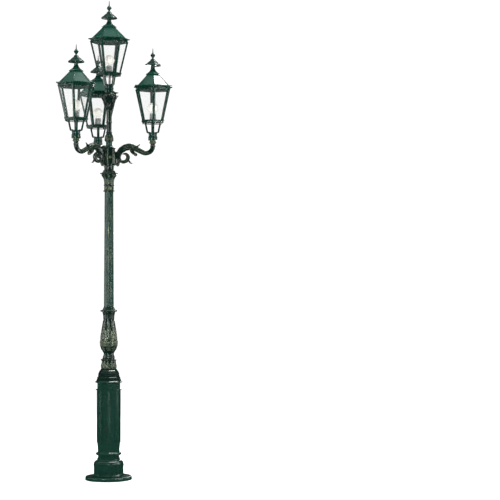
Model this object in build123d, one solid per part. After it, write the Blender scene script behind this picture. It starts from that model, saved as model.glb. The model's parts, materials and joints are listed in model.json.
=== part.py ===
from build123d import *
from math import cos, hypot, pi, radians, sin, tan
import os

# A cast garden lamp post with three bracket lanterns round a fourth on the central stem.
# Millimetres and degrees. +Z is up, the origin is on the ground under the post's axis,
# and the service door in the octagonal base faces -Y.
#
# Outlines are lists of (radius, height above the casting's own foot, bulge). The bulge is how far
# the middle of the stretch that ends there stands outside the straight line, and 0 where left out.
# On straight-sided castings the radius is the one to the corners.

# ---------------------------------------------------------------- driving dimensions
# foundation flange and octagonal base
FLANGE_R = 208.5
FLANGE_H = 31.0
FLANGE_EDGE_ROUND = 9.0
STUD_CIRCLE = 345.0
STUD_COUNT = 4
STUD_HOLE_R = 8.5
STUD_HOLE_DEPTH = 23.0
CABLE_ENTRY_R = 40.0
BASE_SIDES = 8
BASE_TURN = 270.0            # the direction that one flat of the base faces
PLINTH_FOOT_R = 139.0
PLINTH_R = 136.0
PLINTH_WAIST_R = 133.0
PLINTH_H = 115.0             # up to the top edge of the block
SLOPE_H = 47.0               # the ogee above the block
BASE_NECK_R = 95.5
BASE_NECK_H = 24.0
TORUS_R = 114.5
TORUS_H = 33.0
BASE_BORE = 70.0
COLUMN_FOOT_R = 97.5
COLUMN_FOOT_H = 24.0
COLUMN_R = 106.5
COLUMN_H = 544.0
COLUMN_SWELL_H = 165.0       # height at which the column reaches its full width
COLUMN_WALL = 10.0
PANEL_W = 48.0
PANEL_DEPTH = 4.0
PANEL_FOOT = 84.0            # panel's lowest point above the column's foot
PANEL_TOP_MARGIN = 26.0

# service door, its hinges and its lock
DOOR_W = 58.0
DOOR_FOOT = 170.0            # above the column's foot
DOOR_TOP_MARGIN = 22.0       # from the door's top to the column's
DOOR_THICK = 9.0
DOOR_GAP = 1.0
DOOR_RIM = 5.0
HINGE_BARREL_R = 4.5
HINGE_STANDOFF = 1.5         # hinge axis in front of the column's flat
HINGE_PIN_R = 2.0
HINGE_INSET = 70.0           # hinge centre from the door's top and foot
DOOR_KNUCKLE = 16.0
POST_KNUCKLE = 10.0
KNUCKLE_GAP = 0.5
LEAF_THICK = 2.7
PIN_CLEAR = 0.05
MOVING_GAP = 0.3
LOCK_R = 8.0
LOCK_HEAD_R = 11.0
LOCK_HEAD_H = 2.5
LOCK_KEYWAY = 5.0            # circle round the triangular key's corners
LOCK_KEYWAY_DEPTH = 6.0
LOCK_HEIGHT = 42.0           # above the door's foot
LOCK_FROM_EDGE = 17.5
LOCK_CAM_REACH = 23.0
LOCK_CAM_W = 9.0
LOCK_CAM_THICK = 3.0
LOCK_CAM_GAP = 0.5           # between the cam and the column's wall

# terminal box behind the door
TERMINAL_W = 62.0
TERMINAL_D = 38.0
TERMINAL_H = 150.0
TERMINAL_LID = 3.0
TERMINAL_FOOT = 235.0        # above the column's foot
GLAND_R = 9.0
GLAND_H = 16.0
GLAND_SPACING = 30.0

# cornice, stepped cone and baluster
CORNICE_H = 91.0
CORNICE_FLANGE_R = 115.0
CORNICE_BAND_R = 102.5
CORNICE_LIP_R = 120.5
CORNICE_TOP_R = 110.0
STEPPED_H = 108.0            # octagonal part of the cone
CONE_H = 92.0                # round, leaf-covered part of the cone
CONE_FOOT_R = 71.0
CONE_FLANGE_R = 70.0
BALUSTER_FOOT_R = 55.0
BALUSTER_H = 463.0
BALUSTER_NECK_R = 44.0
BALUSTER_BELLY_R = 76.5
BALUSTER_COLLAR_R = 74.5
CABLE_BORE = 30.0

# fluted shaft
SHAFT_H = 1034.0
SHAFT_FOOT_R = 44.5
SHAFT_TOP_R = 39.5
FLUTES = 12
FLUTE_SHARE = 0.72           # part of each flute's pitch that is hollow
FLUTE_DEPTH = 3.2

# capital
CAPITAL_H = 198.0
CAPITAL_BAND_R = 41.0
CAPITAL_FLANGE_R = 78.5
HUB_SOCKET_R = 43.0
HUB_SOCKET_H = 53.0
HUB_SCREWS = 4
HUB_SCREW_TURN = -55.0
ROSETTES = 6
ROSETTE_R = 15.5
ROSETTE_H = 4.0
ROSETTE_HEIGHT = 33.0        # centre of the band's rosettes above the capital's foot

# hub and stem
HUB_FLAT = 46.0              # from the axis to each flat
HUB_H = 138.0
HUB_BEAD_R = 3.0
HUB_BEAD_FROM_CORNER = 4.5
HUB_ROSETTE_R = 14.0
HUB_ROSETTE_HEIGHT = 59.0
HUB_CAP_H = 62.0
HUB_CAP_R = 48.0
HUB_PLATE_R = 63.0           # corners of the plate under the cap, past the hub
HUB_PLATE_H = 6.0
STEM_H = 289.0
STEM_R = 23.0
STEM_BULB_R = 37.5
STEM_CAPITAL_H = 154.0
STEM_FLARE_R = 85.0          # tips of the flange at the top of the leaves
STEM_TOP_R = 40.0
STEM_BORE = 12.0

# bracket arms
ARM_ANGLES = {"arm_right": 7.0, "arm_left": 247.0, "arm_back": 127.0}
ARM_REACH = 405.0
ARCH_R = 98.5
ARCH_CENTRE = (184.0, 54.0)  # from the axis, and above the hub's foot
ARCH_START = 186.0
ARCH_TUBE_R = 24.5
SWEEP_R = 62.0
ARCH_END = 64.0              # angle round the arch at which the straight stretch leaves it
SWEEP_TUBE_R = 20.5
SCROLL_CENTRE = (134.0, 58.0)
SCROLL_HOLE_R = 25.0
# angle round the hole's centre, and half the band's thickness there
SCROLL_BAND = [(-155, 14.0), (-122, 14.5), (-90, 15.5), (-45, 17.0), (0, 17.5), (42, 14.0), (75, 8.5),
               (108, 2.0)]
# leaves on the arm: distance from the axis, height above the hub's foot, and half the thickness
CREST_LEAF = [(188.0, 163.0, 8.0), (222.0, 158.0, 10.0), (247.0, 153.0, 9.0), (265.0, 155.0, 7.0),
              (277.0, 163.0, 5.0), (285.0, 174.0, 3.0)]
DROP_LEAF = [(204.0, 116.0, 12.0), (222.0, 106.0, 13.0), (238.0, 94.0, 13.0), (249.0, 86.0, 12.0)]
SPUR_LEAF = [(178.0, 32.0, 12.0), (189.0, 20.0, 9.0), (198.0, 8.0, 6.5), (208.0, 3.0, 4.0),
             (216.0, 1.5, 2.5)]
PLATE_W = 38.0
PLATE_H = 129.0
PLATE_FOOT = -14.0           # below the hub's foot
PLATE_THICK = 14.0
ROOT_W = 32.0
ROOT_FOOT = -2.0
ROOT_TOP = 84.0
FOOT_CURL = (80.0, -10.0)    # from the axis, and above the hub's foot
FOOT_CURL_R = 12.0
FOOT_CURL_W = 30.0
ARM_END_H = 51.0             # from the centre of the outer sweep up to where the lantern's socket stands
ARM_BEAD_R = 31.0
ARM_COLLAR_R = 28.0          # the lantern's socket stands on it
ARM_NECK_R = 20.5
ARM_BORE = 6.0
SPIGOT_R = 24.0
SPIGOT_H = 44.0
BOLT_R = 4.0
BOLT_HEAD_FLAT = 6.5
BOLT_HEAD_H = 6.0
BOLT_SPACING = 20.0
BOLT_HEIGHT = 104.0          # above the hub's foot

# lanterns: direction that each roof hinge faces, and how far the legs are turned from it
LANTERN_TURNS = {"right": (25.5, 0.0), "left": (254.5, 45.0), "back": (114.5, 0.0), "top": (118.0, 45.0)}
SOCKET_R = 40.0
SOCKET_RING_R = 43.5
SOCKET_RING_HEIGHT = 29.0
SOCKET_WAIST_R = 37.0
SOCKET_WAIST_H = 42.0
SOCKET_H = 71.0
SOCKET_CLEAR = 0.3
SCREW_HEAD_R = 5.0
SCREW_HEAD_H = 4.0
LEGS = 4
LEG_W = 18.0
LEG_THICK = 12.0
LEG_INNER_R = 24.0
LEG_FOOT_R = 54.0            # outside of the bend
LEG_TOP_R = 74.0             # outside of the leg under the rim
LEG_BEND = 9.0
GALLERY_FOOT = 150.0         # lower edge of the slotted skirt above the socket's foot
SKIRT_H = 18.0
SKIRT_R = 106.0
SKIRT_WALL = 4.0
SLOTS_PER_SIDE = 9
SLOT_W = 5.0
SLOT_PITCH = 10.6
SLOT_H = 13.0
RIM_R = 113.0
RIM_H = 9.0
SIDES = 6
GLAZED_H = 276.0
GLASS_FOOT_R = 103.5
GLASS_TOP_R = 168.0
BAR_W = 13.0
BAR_THICK = 6.0
PANE_THICK = 3.0
PANE_EDGE = 3.0
PANE_GAP = 0.2
FASCIA_H = 27.0
FASCIA_R = 172.0
FASCIA_STEP = 7.0            # depth of the cove round the fascia
FASCIA_WALL = 7.0
STUD_R = 5.0
STUD_OUT = 5.0
EAVE_R = 190.0
EAVE_H = 6.0
ROOF_FOOT_R = 155.0
ROOF_H = 104.0
ROOF_TOP_R = 55.0
ROOF_WALL = 5.0
CAP_R = 69.5
CAP_H = 9.0
CROWN_R = 55.0
CROWN_H = 14.0
VENT_R = 14.0
HAT_NECK_R = 18.5
HAT_NECK_H = 50.0
HAT_R = 72.0
HAT_H = 127.0
BALL_R = 17.0
BALL_RING_R = 22.0
SPIKE_FOOT_R = 8.0
SPIKE_R = 3.4
FINIAL_NECK_R = 7.0
FINIAL_RING_H = 24.0
FINIAL_H = 88.0
ROOF_BARREL_R = 5.0
ROOF_PIN_R = 2.5
ROOF_KNUCKLE = 26.0
FRAME_KNUCKLE = 9.0
LUG_H = 9.0
HOLDER_R = 28.5
HOLDER_H = 66.0
CONDUIT_R = 6.0
LEAD_R = 3.5
LEAD_OFFSET = 11.0
BULB_R = 47.5
BULB_NECK_R = 20.0
BULB_NECK_H = 6.0

# the door fills the column between its two margins
DOOR_H = COLUMN_H - DOOR_FOOT - DOOR_TOP_MARGIN

# the straight stretch touches the arch and the outer sweep, which settles its length and the sweep's height
ARM_BENDS_R = ARCH_R + SWEEP_R
ARM_STRAIGHT = (ARM_REACH - SWEEP_R - ARCH_CENTRE[0]
                - ARM_BENDS_R * cos(radians(ARCH_END))) / sin(radians(ARCH_END))
SWEEP_HEIGHT = ARCH_CENTRE[1] + ARM_BENDS_R * sin(radians(ARCH_END)) - ARM_STRAIGHT * cos(radians(ARCH_END))

# ---------------------------------------------------------------- heights, from the ground up
PLINTH_Z = FLANGE_H
COLUMN_Z = PLINTH_Z + PLINTH_H + SLOPE_H + BASE_NECK_H + TORUS_H
CORNICE_Z = COLUMN_Z + COLUMN_H
CONE_Z = CORNICE_Z + CORNICE_H
BALUSTER_Z = CONE_Z + STEPPED_H + CONE_H
SHAFT_Z = BALUSTER_Z + BALUSTER_H
CAPITAL_Z = SHAFT_Z + SHAFT_H
HUB_Z = CAPITAL_Z + CAPITAL_H + HUB_SOCKET_H
HUB_CAP_Z = HUB_Z + HUB_H
STEM_Z = HUB_CAP_Z + HUB_CAP_H
STEM_CAPITAL_Z = STEM_Z + STEM_H
ARM_LANTERN_Z = HUB_Z + SWEEP_HEIGHT + ARM_END_H
TOP_LANTERN_Z = STEM_CAPITAL_Z + STEM_CAPITAL_H

# heights inside a lantern, above its socket's foot
PLATE_Z = GALLERY_FOOT + SKIRT_H
GLASS_Z = PLATE_Z + RIM_H
FASCIA_Z = GLASS_Z + GLAZED_H
EAVE_Z = FASCIA_Z + FASCIA_H
ROOF_Z = EAVE_Z + EAVE_H
CAP_Z = ROOF_Z + ROOF_H
HAT_Z = CAP_Z + CAP_H + CROWN_H
FINIAL_Z = HAT_Z + HAT_H


# ---------------------------------------------------------------- ways of making a casting
def stretch(start, end, bulge):
    """One stretch of an outline: a line, or an arc whose middle stands off the line by the bulge."""
    if not bulge:
        return Line(start, end)
    run, rise = end[0] - start[0], end[1] - start[1]
    length = hypot(run, rise)
    middle = ((start[0] + end[0]) / 2 + bulge * rise / length, (start[1] + end[1]) / 2 - bulge * run / length)
    return ThreePointArc(start, middle, end)


def section(outline, bore):
    """The half section between an outline and a straight bore, in the XZ plane."""
    points = [(point[0], point[1]) for point in outline]
    bulges = [point[2] if len(point) > 2 else 0 for point in outline]
    edges = [stretch(a, b, bulge) for a, b, bulge in zip(points, points[1:], bulges[1:])]
    inner = [points[-1], (bore, points[-1][1]), (bore, points[0][1]), points[0]]
    edges += [Line(a, b) for a, b in zip(inner, inner[1:]) if a != b]
    return Plane.XZ * make_face(edges)


def turned(outline, bore=0.0):
    """A round casting: the outline turned about the Z axis."""
    return revolve(section(outline, bore), Axis.Z)


def mitred(outline, sides, bore):
    """A straight-sided casting: the outline run along each flat and mitred at the corners.

    Flats face along +X and every 360/sides degrees from there.
    """
    half = pi / sides
    flats = [(point[0] * cos(half), *point[1:]) for point in outline]
    reach = 2 * max(point[0] for point in outline)
    foot, top = outline[0][1], outline[-1][1]
    run = extrude(section(flats, bore * cos(half)), amount=reach, both=True)
    corner = reach * tan(half)
    triangle = Polygon((0, 0), (reach, -corner), (reach, corner), align=None)
    wedge = Pos(0, 0, foot - 1) * extrude(triangle, top - foot + 2)
    side = run & wedge
    return Part() + [Rot(0, 0, 360 * k / sides) * side for k in range(sides)]


def ring_of(piece, count, first=0.0):
    """Copies of a piece set round the Z axis."""
    return [Rot(0, 0, first + 360 * k / count) * piece for k in range(count)]


def tapered_bar(stations):
    """A round bar that bends in the XZ plane; each station is (x, z, radius)."""
    discs = []
    for k, (x, z, radius) in enumerate(stations):
        before, after = stations[max(k - 1, 0)], stations[min(k + 1, len(stations) - 1)]
        along = (after[0] - before[0], 0, after[1] - before[1])
        discs.append(Plane(origin=(x, 0, z), x_dir=(0, 1, 0), z_dir=along) * Circle(radius))
    return loft(discs)


def frustum(sides, foot_r, top_r, height):
    """A straight-sided frustum with flats facing +X, standing on the XY plane."""
    turn = 180 / sides
    foot = RegularPolygon(foot_r, sides, rotation=turn)
    top = Pos(0, 0, height) * RegularPolygon(top_r, sides, rotation=turn)
    return loft([foot, top], ruled=True)


def rosette(radius, height):
    """A cast rosette lying on the XY plane: a rimmed disc with a ring of petals and a middle boss."""
    outline = [(radius, 0), (radius, height * 0.5), (radius * 0.8, height * 0.8, 0.3),
               (radius * 0.72, height * 0.45), (radius * 0.34, height * 0.45),
               (radius * 0.34, height * 0.8), (0.01, height, 0.6)]
    petal = Pos(radius * 0.54, 0, radius * 0.16) * Sphere(radius * 0.16)
    return turned(outline) + ring_of(petal, 6)


def on_flat(piece, distance, height, direction):
    """Stand a piece made on the XY plane out from a vertical flat."""
    return Rot(0, 0, direction) * Pos(distance, 0, height) * Rot(0, 90, 0) * piece


# ---------------------------------------------------------------- base
def foundation_flange():
    """Round foot with blind stud holes in its underside and the cable's way in at its centre."""
    disc = turned([(FLANGE_R, 0), (FLANGE_R, FLANGE_H - FLANGE_EDGE_ROUND),
                   (FLANGE_R - FLANGE_EDGE_ROUND, FLANGE_H, FLANGE_EDGE_ROUND * (1 - cos(pi / 4)))],
                  CABLE_ENTRY_R)
    hole = Pos(STUD_CIRCLE / 2, 0, STUD_HOLE_DEPTH / 2) * Cylinder(STUD_HOLE_R, STUD_HOLE_DEPTH)
    return disc - ring_of(hole, STUD_COUNT, 45)


def base_plinth():
    """Octagonal block, ogee slope, neck and torus under the column."""
    slope = PLINTH_H + SLOPE_H
    neck = slope + BASE_NECK_H
    top = neck + TORUS_H
    outline = [(PLINTH_FOOT_R, 0), (PLINTH_FOOT_R, 8), (PLINTH_WAIST_R, 30, -2),
               (PLINTH_WAIST_R, PLINTH_H - 24), (PLINTH_R, PLINTH_H - 20), (PLINTH_R, PLINTH_H - 8),
               (PLINTH_R - 4, PLINTH_H - 8), (PLINTH_R - 4, PLINTH_H, 2),
               ((PLINTH_R + BASE_NECK_R) / 2, slope - 22, 4), (BASE_NECK_R + 6, slope - 7, -4),
               (BASE_NECK_R + 6, slope), (BASE_NECK_R, slope + 3), (BASE_NECK_R, neck - 4),
               (BASE_NECK_R + 8, neck), (TORUS_R, neck + TORUS_H * 0.4, 2),
               (BASE_NECK_R + 9, neck + TORUS_H * 0.8, 5), (COLUMN_FOOT_R, top)]
    return Rot(0, 0, BASE_TURN) * mitred(outline, BASE_SIDES, BASE_BORE)


def column_flat(radius):
    """Distance from the axis to a flat of the column."""
    return radius * cos(pi / BASE_SIDES)


def front_flat():
    """The door's outer face lies this far in front of the axis."""
    return column_flat(COLUMN_R)


def panel_pocket():
    """The sunk panel of one flat, made to be cut out of the side that faces +X."""
    deep = 20.0
    top = COLUMN_H - PANEL_TOP_MARGIN
    straight = PANEL_FOOT + PANEL_W / 2
    face = front_flat() - PANEL_DEPTH
    slab = Pos(face + deep / 2, 0, (straight + top) / 2) * Box(deep, PANEL_W, top - straight)
    end = Pos(face + deep / 2, 0, straight) * Rot(0, 90, 0) * Cylinder(PANEL_W / 2, deep)
    return slab + end


def hinge_axis():
    """Where the door's hinge line crosses the XY plane."""
    return (-(DOOR_W / 2 + HINGE_BARREL_R), -(front_flat() + HINGE_STANDOFF))


def hinge_heights():
    """Centres of the two door hinges, above the column's foot."""
    return [DOOR_FOOT + HINGE_INSET, DOOR_FOOT + DOOR_H - HINGE_INSET]


def barrel(length, height, bore):
    """A hinge knuckle on the door's hinge line."""
    x, y = hinge_axis()
    tube = Cylinder(HINGE_BARREL_R, length) - Cylinder(bore, length * 2)
    return Pos(x, y, height) * tube


def base_column():
    """Hollow octagonal column with a sunk panel on each flat and a doorway in the front."""
    outline = [(COLUMN_FOOT_R, 0), (COLUMN_FOOT_R, COLUMN_FOOT_H), (COLUMN_R, COLUMN_SWELL_H, 1.5),
               (COLUMN_R, COLUMN_H)]
    shell = mitred(outline, BASE_SIDES, COLUMN_R - COLUMN_WALL / cos(pi / BASE_SIDES))
    shell -= ring_of(panel_pocket(), BASE_SIDES)
    shell = Rot(0, 0, BASE_TURN) * shell
    flat = front_flat()
    doorway = Box(DOOR_W + 2 * DOOR_GAP, COLUMN_WALL * 3, DOOR_H + 2 * DOOR_GAP)
    shell -= Pos(0, -flat, DOOR_FOOT + DOOR_H / 2) * doorway
    x, y = hinge_axis()
    for height in hinge_heights():
        relief = DOOR_KNUCKLE + 2 * KNUCKLE_GAP
        for side in (-1, 1):
            middle = height + side * (relief + POST_KNUCKLE) / 2
            knuckle = barrel(POST_KNUCKLE, middle, HINGE_PIN_R + PIN_CLEAR)
            shell += knuckle
        shell -= Pos(x, y, height) * Cylinder(HINGE_BARREL_R + MOVING_GAP * 2, relief)
        shell -= Pos(x, y, height) * Cylinder(HINGE_PIN_R + PIN_CLEAR, relief + 2 * POST_KNUCKLE)
    return shell


def service_door():
    """Door with a sunk panel like those of the other flats, two hinge leaves and the lock's hole."""
    flat = front_flat()
    middle = DOOR_FOOT + DOOR_H / 2
    door = Pos(0, -flat + DOOR_THICK / 2, middle) * Box(DOOR_W, DOOR_THICK, DOOR_H)
    sunk = Box(DOOR_W - 2 * DOOR_RIM, 2 * PANEL_DEPTH, DOOR_H - 2 * DOOR_RIM)
    door -= Pos(0, -flat, middle) * sunk
    x, _ = hinge_axis()
    inner = x + HINGE_BARREL_R + DOOR_RIM
    for height in hinge_heights():
        proud = Pos((x + inner) / 2, -flat - MOVING_GAP - LEAF_THICK / 2, height)
        proud *= Box(inner - x, LEAF_THICK, DOOR_KNUCKLE)
        foot = Pos((-DOOR_W / 2 + inner) / 2, -flat - LEAF_THICK / 2 + 0.5, height)
        foot *= Box(inner + DOOR_W / 2, LEAF_THICK, DOOR_KNUCKLE)
        knuckle = barrel(DOOR_KNUCKLE, height, HINGE_PIN_R + PIN_CLEAR)
        bore = Pos(*hinge_axis(), height) * Cylinder(HINGE_PIN_R + PIN_CLEAR, DOOR_KNUCKLE * 2)
        door += (proud + foot + knuckle) - bore
    lock_x, lock_z = lock_place()
    door -= Pos(lock_x, -flat, lock_z) * Rot(90, 0, 0) * Cylinder(LOCK_R + PIN_CLEAR, DOOR_THICK * 4)
    return door


def lock_place():
    """Across and height of the lock, above the column's foot."""
    return DOOR_W / 2 - LOCK_FROM_EDGE, DOOR_FOOT + LOCK_HEIGHT


def door_lock():
    """Quarter-turn lock: headed barrel with a triangular keyway, and a cam behind the door, standing upright."""
    x, z = lock_place()
    face = -front_flat() + PANEL_DEPTH
    cam_front = -front_flat() + COLUMN_WALL + LOCK_CAM_GAP
    cam_back = cam_front + LOCK_CAM_THICK
    head = Pos(x, face - MOVING_GAP - LOCK_HEAD_H / 2, z) * Rot(90, 0, 0) * Cylinder(LOCK_HEAD_R, LOCK_HEAD_H)
    length = cam_back - face + MOVING_GAP + LOCK_HEAD_H / 2
    shank = Pos(x, cam_back - length / 2, z) * Rot(90, 0, 0) * Cylinder(LOCK_R, length)
    cam_place = Pos(x, (cam_front + cam_back) / 2, z + LOCK_CAM_REACH / 2)
    cam = cam_place * Box(LOCK_CAM_W, LOCK_CAM_THICK, LOCK_CAM_REACH)
    key = extrude(RegularPolygon(LOCK_KEYWAY, 3), LOCK_KEYWAY_DEPTH)
    keyway = Pos(x, face - MOVING_GAP - LOCK_HEAD_H, z) * Rot(-90, 0, 0) * key
    return (head + shank + cam) - keyway


def door_hinge_pins():
    """The two pins of the door's hinges, each through one door knuckle and two post knuckles."""
    length = DOOR_KNUCKLE + 2 * KNUCKLE_GAP + 2 * POST_KNUCKLE
    return [Pos(*hinge_axis(), height) * Cylinder(HINGE_PIN_R, length) for height in hinge_heights()]


def terminal_box():
    """Cable terminal box with its lid and two glands, on the back wall behind the door."""
    wall = column_flat(COLUMN_R) - COLUMN_WALL
    middle = TERMINAL_FOOT + TERMINAL_H / 2
    body = Pos(0, wall - TERMINAL_D / 2, middle) * Box(TERMINAL_W, TERMINAL_D, TERMINAL_H)
    lid_face = wall - TERMINAL_D - TERMINAL_LID / 2
    lid = Pos(0, lid_face, middle) * Box(TERMINAL_W - 4, TERMINAL_LID, TERMINAL_H - 4)
    box = body + lid
    for side in (-1, 1):
        gland = Pos(side * GLAND_SPACING / 2, wall - TERMINAL_D / 2, TERMINAL_FOOT - GLAND_H / 2)
        box += gland * Cylinder(GLAND_R, GLAND_H)
        for height in (TERMINAL_FOOT + 14, TERMINAL_FOOT + TERMINAL_H - 14):
            place = Pos(side * (TERMINAL_W / 2 - 10), lid_face - TERMINAL_LID, height) * Rot(90, 0, 0)
            box += place * Cylinder(3, TERMINAL_LID)
    return box


def column_cornice():
    """Octagonal band between two thin flanges on top of the column."""
    top = CORNICE_H
    outline = [(COLUMN_R, 0), (COLUMN_R, 5), (CORNICE_FLANGE_R, 6), (CORNICE_FLANGE_R, 15, 1),
               (CORNICE_BAND_R, 19), (CORNICE_BAND_R, top - 22), (CORNICE_LIP_R, top - 16),
               (CORNICE_LIP_R, top - 7, 1.5), (CORNICE_TOP_R, top, -1)]
    return Rot(0, 0, BASE_TURN) * mitred(outline, BASE_SIDES, BASE_BORE)


def leaf_cone():
    """Octagonal steps that turn into a round, leaf-covered cone with a flange."""
    steps = [(CORNICE_TOP_R, 0), (CORNICE_TOP_R - 3, 14, 1), (CORNICE_TOP_R - 6, 14),
             (CORNICE_TOP_R - 9, 34, 2), (CORNICE_TOP_R - 15, 36), (CORNICE_TOP_R - 17, 56, 2),
             (CONE_FOOT_R + 16, 76, 3), (CONE_FOOT_R + 8, 92, 2), (CONE_FOOT_R + 3, 96),
             (CONE_FOOT_R, STEPPED_H)]
    cone = [(CONE_FOOT_R * cos(pi / BASE_SIDES), 0), (67.5, 34, 2), (60.5, CONE_H - 24, -2),
            (64, CONE_H - 21), (CONE_FLANGE_R, CONE_H - 16), (CONE_FLANGE_R, CONE_H - 7, 2),
            (BALUSTER_FOOT_R, CONE_H, -1)]
    lower = Rot(0, 0, BASE_TURN) * mitred(steps, BASE_SIDES, CABLE_BORE)
    return lower + Pos(0, 0, STEPPED_H) * turned(cone, CABLE_BORE)


def baluster():
    """Vase-shaped casting under the shaft: waist, leaf cup, belly, tapering neck and collar."""
    top = BALUSTER_H
    outline = [(BALUSTER_FOOT_R, 0), (52, 15, -1), (BALUSTER_NECK_R, 46, -3), (57, 66, 2), (57, 72),
               (67.5, 93, 3), (BALUSTER_BELLY_R, 128, 2.5), (75, 157, 1.5), (70, 222, 1), (62.5, 265),
               (55, 309), (49.5, 352, -1), (52, 394, -0.5), (57, 408), (57, 415), (BALUSTER_COLLAR_R, 421),
               (BALUSTER_COLLAR_R, 433, 2), (56, 437), (52.5, 446, 1), (SHAFT_FOOT_R + 1.5, top)]
    return turned(outline, CABLE_BORE)


def fluted_shaft():
    """Tapering tube with round-bottomed flutes along its whole length."""
    pitch = 2 * pi / FLUTES
    hollow = pitch * FLUTE_SHARE

    def star(radius):
        edges = []
        for k in range(FLUTES):
            start, end = k * pitch - hollow / 2, k * pitch + hollow / 2
            here = [(radius * cos(a), radius * sin(a)) for a in (start, end, (k + 1) * pitch - hollow / 2)]
            deep = radius - FLUTE_DEPTH
            edges.append(ThreePointArc(here[0], (deep * cos(k * pitch), deep * sin(k * pitch)), here[1]))
            edges.append(Line(here[1], here[2]))
        return make_face(edges)

    tube = loft([star(SHAFT_FOOT_R), Pos(0, 0, SHAFT_H) * star(SHAFT_TOP_R)], ruled=True)
    return tube - Pos(0, 0, SHAFT_H / 2) * Cylinder(CABLE_BORE, SHAFT_H)


def capital():
    """Astragal, rosette band, leaf bell and flange, with the cylinder that the hub sits in."""
    top = CAPITAL_H
    outline = [(SHAFT_TOP_R + 1, 0), (48, 2), (49.5, 7, 1), (48, 13, 1), (CAPITAL_BAND_R, 15),
               (CAPITAL_BAND_R, 50), (45, 53), (47, 58, 1.5), (45, 64, 1.5), (41, 67), (42, 96, -1),
               (47.5, 118, -1), (62, 142, -2), (64.5, 155, 1), (70, 158), (CAPITAL_FLANGE_R, 162),
               (CAPITAL_FLANGE_R, 171, 2), (55, 182, -5), (53, 192, 1), (HUB_SOCKET_R, top),
               (HUB_SOCKET_R, top + HUB_SOCKET_H)]
    return turned(outline, CABLE_BORE)


def capital_rosettes():
    """Rosettes round the capital's band."""
    one = on_flat(rosette(ROSETTE_R, ROSETTE_H + 2), CAPITAL_BAND_R - 2.0, ROSETTE_HEIGHT, 0)
    band = Pos(0, 0, ROSETTE_HEIGHT) * Cylinder(CAPITAL_BAND_R, 4 * ROSETTE_R)
    return ring_of(one - band, ROSETTES, 7)


# ---------------------------------------------------------------- hub, arms and stem
def arm_hub():
    """Hexagonal hub with a pair of half-round beads at each corner."""
    hub = mitred([(HUB_FLAT / cos(pi / SIDES), 0), (HUB_FLAT / cos(pi / SIDES), HUB_H)], SIDES, CABLE_BORE)
    across = HUB_FLAT * tan(pi / SIDES) - HUB_BEAD_FROM_CORNER
    for side in (-1, 1):
        bead = Pos(HUB_FLAT, side * across, HUB_H / 2) * Cylinder(HUB_BEAD_R, HUB_H)
        hub += ring_of(bead, SIDES)
    return Rot(0, 0, ARM_ANGLES["arm_right"]) * hub


def hub_rosettes():
    """Rosettes on the three flats that carry no arm."""
    one = on_flat(rosette(HUB_ROSETTE_R, ROSETTE_H), HUB_FLAT, HUB_ROSETTE_HEIGHT, 0)
    return ring_of(one, 3, ARM_ANGLES["arm_right"] + 60)


def tube_arc(centre, path_r, tube_r, start, end):
    """Part of a ring of round bar about a centre in the XZ plane, from one angle to another."""
    turn = radians(start)
    here = (centre[0] + path_r * cos(turn), 0, centre[1] + path_r * sin(turn))
    disc = Plane(origin=here, x_dir=(0, 1, 0), z_dir=(-sin(turn), 0, cos(turn))) * Circle(tube_r)
    return revolve(disc, Axis((centre[0], 0, centre[1]), (0, -1, 0)), end - start)


def arm_bar():
    """The S-shaped bar of an arm: arch, straight stretch and outer sweep."""
    sweep_centre = (ARM_REACH - SWEEP_R, SWEEP_HEIGHT)
    arch = tube_arc(ARCH_CENTRE, ARCH_R, ARCH_TUBE_R, ARCH_END, ARCH_START)
    sweep = tube_arc(sweep_centre, SWEEP_R, SWEEP_TUBE_R, ARCH_END + 180, 360)
    turn = radians(ARCH_END)
    across = (-sin(turn), 0, cos(turn))
    leave = (ARCH_CENTRE[0] + ARCH_R * cos(turn), 0, ARCH_CENTRE[1] + ARCH_R * sin(turn))
    meet = (sweep_centre[0] - SWEEP_R * cos(turn), 0, sweep_centre[1] - SWEEP_R * sin(turn))
    straight = loft([Plane(origin=leave, x_dir=(0, 1, 0), z_dir=across) * Circle(ARCH_TUBE_R),
                     Plane(origin=meet, x_dir=(0, 1, 0), z_dir=across) * Circle(SWEEP_TUBE_R)], ruled=True)
    start = radians(ARCH_START)
    root_place = Pos(ARCH_CENTRE[0] + ARCH_R * cos(start), 0, ARCH_CENTRE[1] + ARCH_R * sin(start))
    root = root_place * Sphere(ARCH_TUBE_R)
    return arch + straight + sweep + root


def arm_end():
    """Beads at the arm's upright end, and the spigot that the lantern's socket slips over."""
    top = ARM_END_H
    outline = [(SWEEP_TUBE_R + 4, -5), (SWEEP_TUBE_R + 4, 5, 1.5), (ARM_NECK_R, 9), (ARM_NECK_R, 19),
               (ARM_BEAD_R - 3, 24), (ARM_BEAD_R - 3, 39, 3), (ARM_COLLAR_R, 43), (ARM_COLLAR_R, top),
               (SPIGOT_R, top), (SPIGOT_R, top + SPIGOT_H)]
    return Pos(ARM_REACH, 0, SWEEP_HEIGHT) * turned(outline, ARM_BORE)


def arm_scroll():
    """The curled band round the hole under the arch."""
    stations = []
    for angle, half in SCROLL_BAND:
        turn, distance = radians(angle), SCROLL_HOLE_R + half
        x, z = SCROLL_CENTRE[0] + distance * cos(turn), SCROLL_CENTRE[1] + distance * sin(turn)
        stations.append((x, z, half))
    return tapered_bar(stations)


def arm_leaves():
    """The crest leaf that flicks up from the arch, the drop leaf below it and the spur of the scroll."""
    x, z, radius = DROP_LEAF[-1]
    knob = Pos(x, 0, z) * Sphere(radius)
    tip = Pos(CREST_LEAF[-1][0], 0, CREST_LEAF[-1][1]) * Sphere(CREST_LEAF[-1][2])
    return tapered_bar(CREST_LEAF) + tip + tapered_bar(DROP_LEAF) + knob + tapered_bar(SPUR_LEAF)


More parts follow.
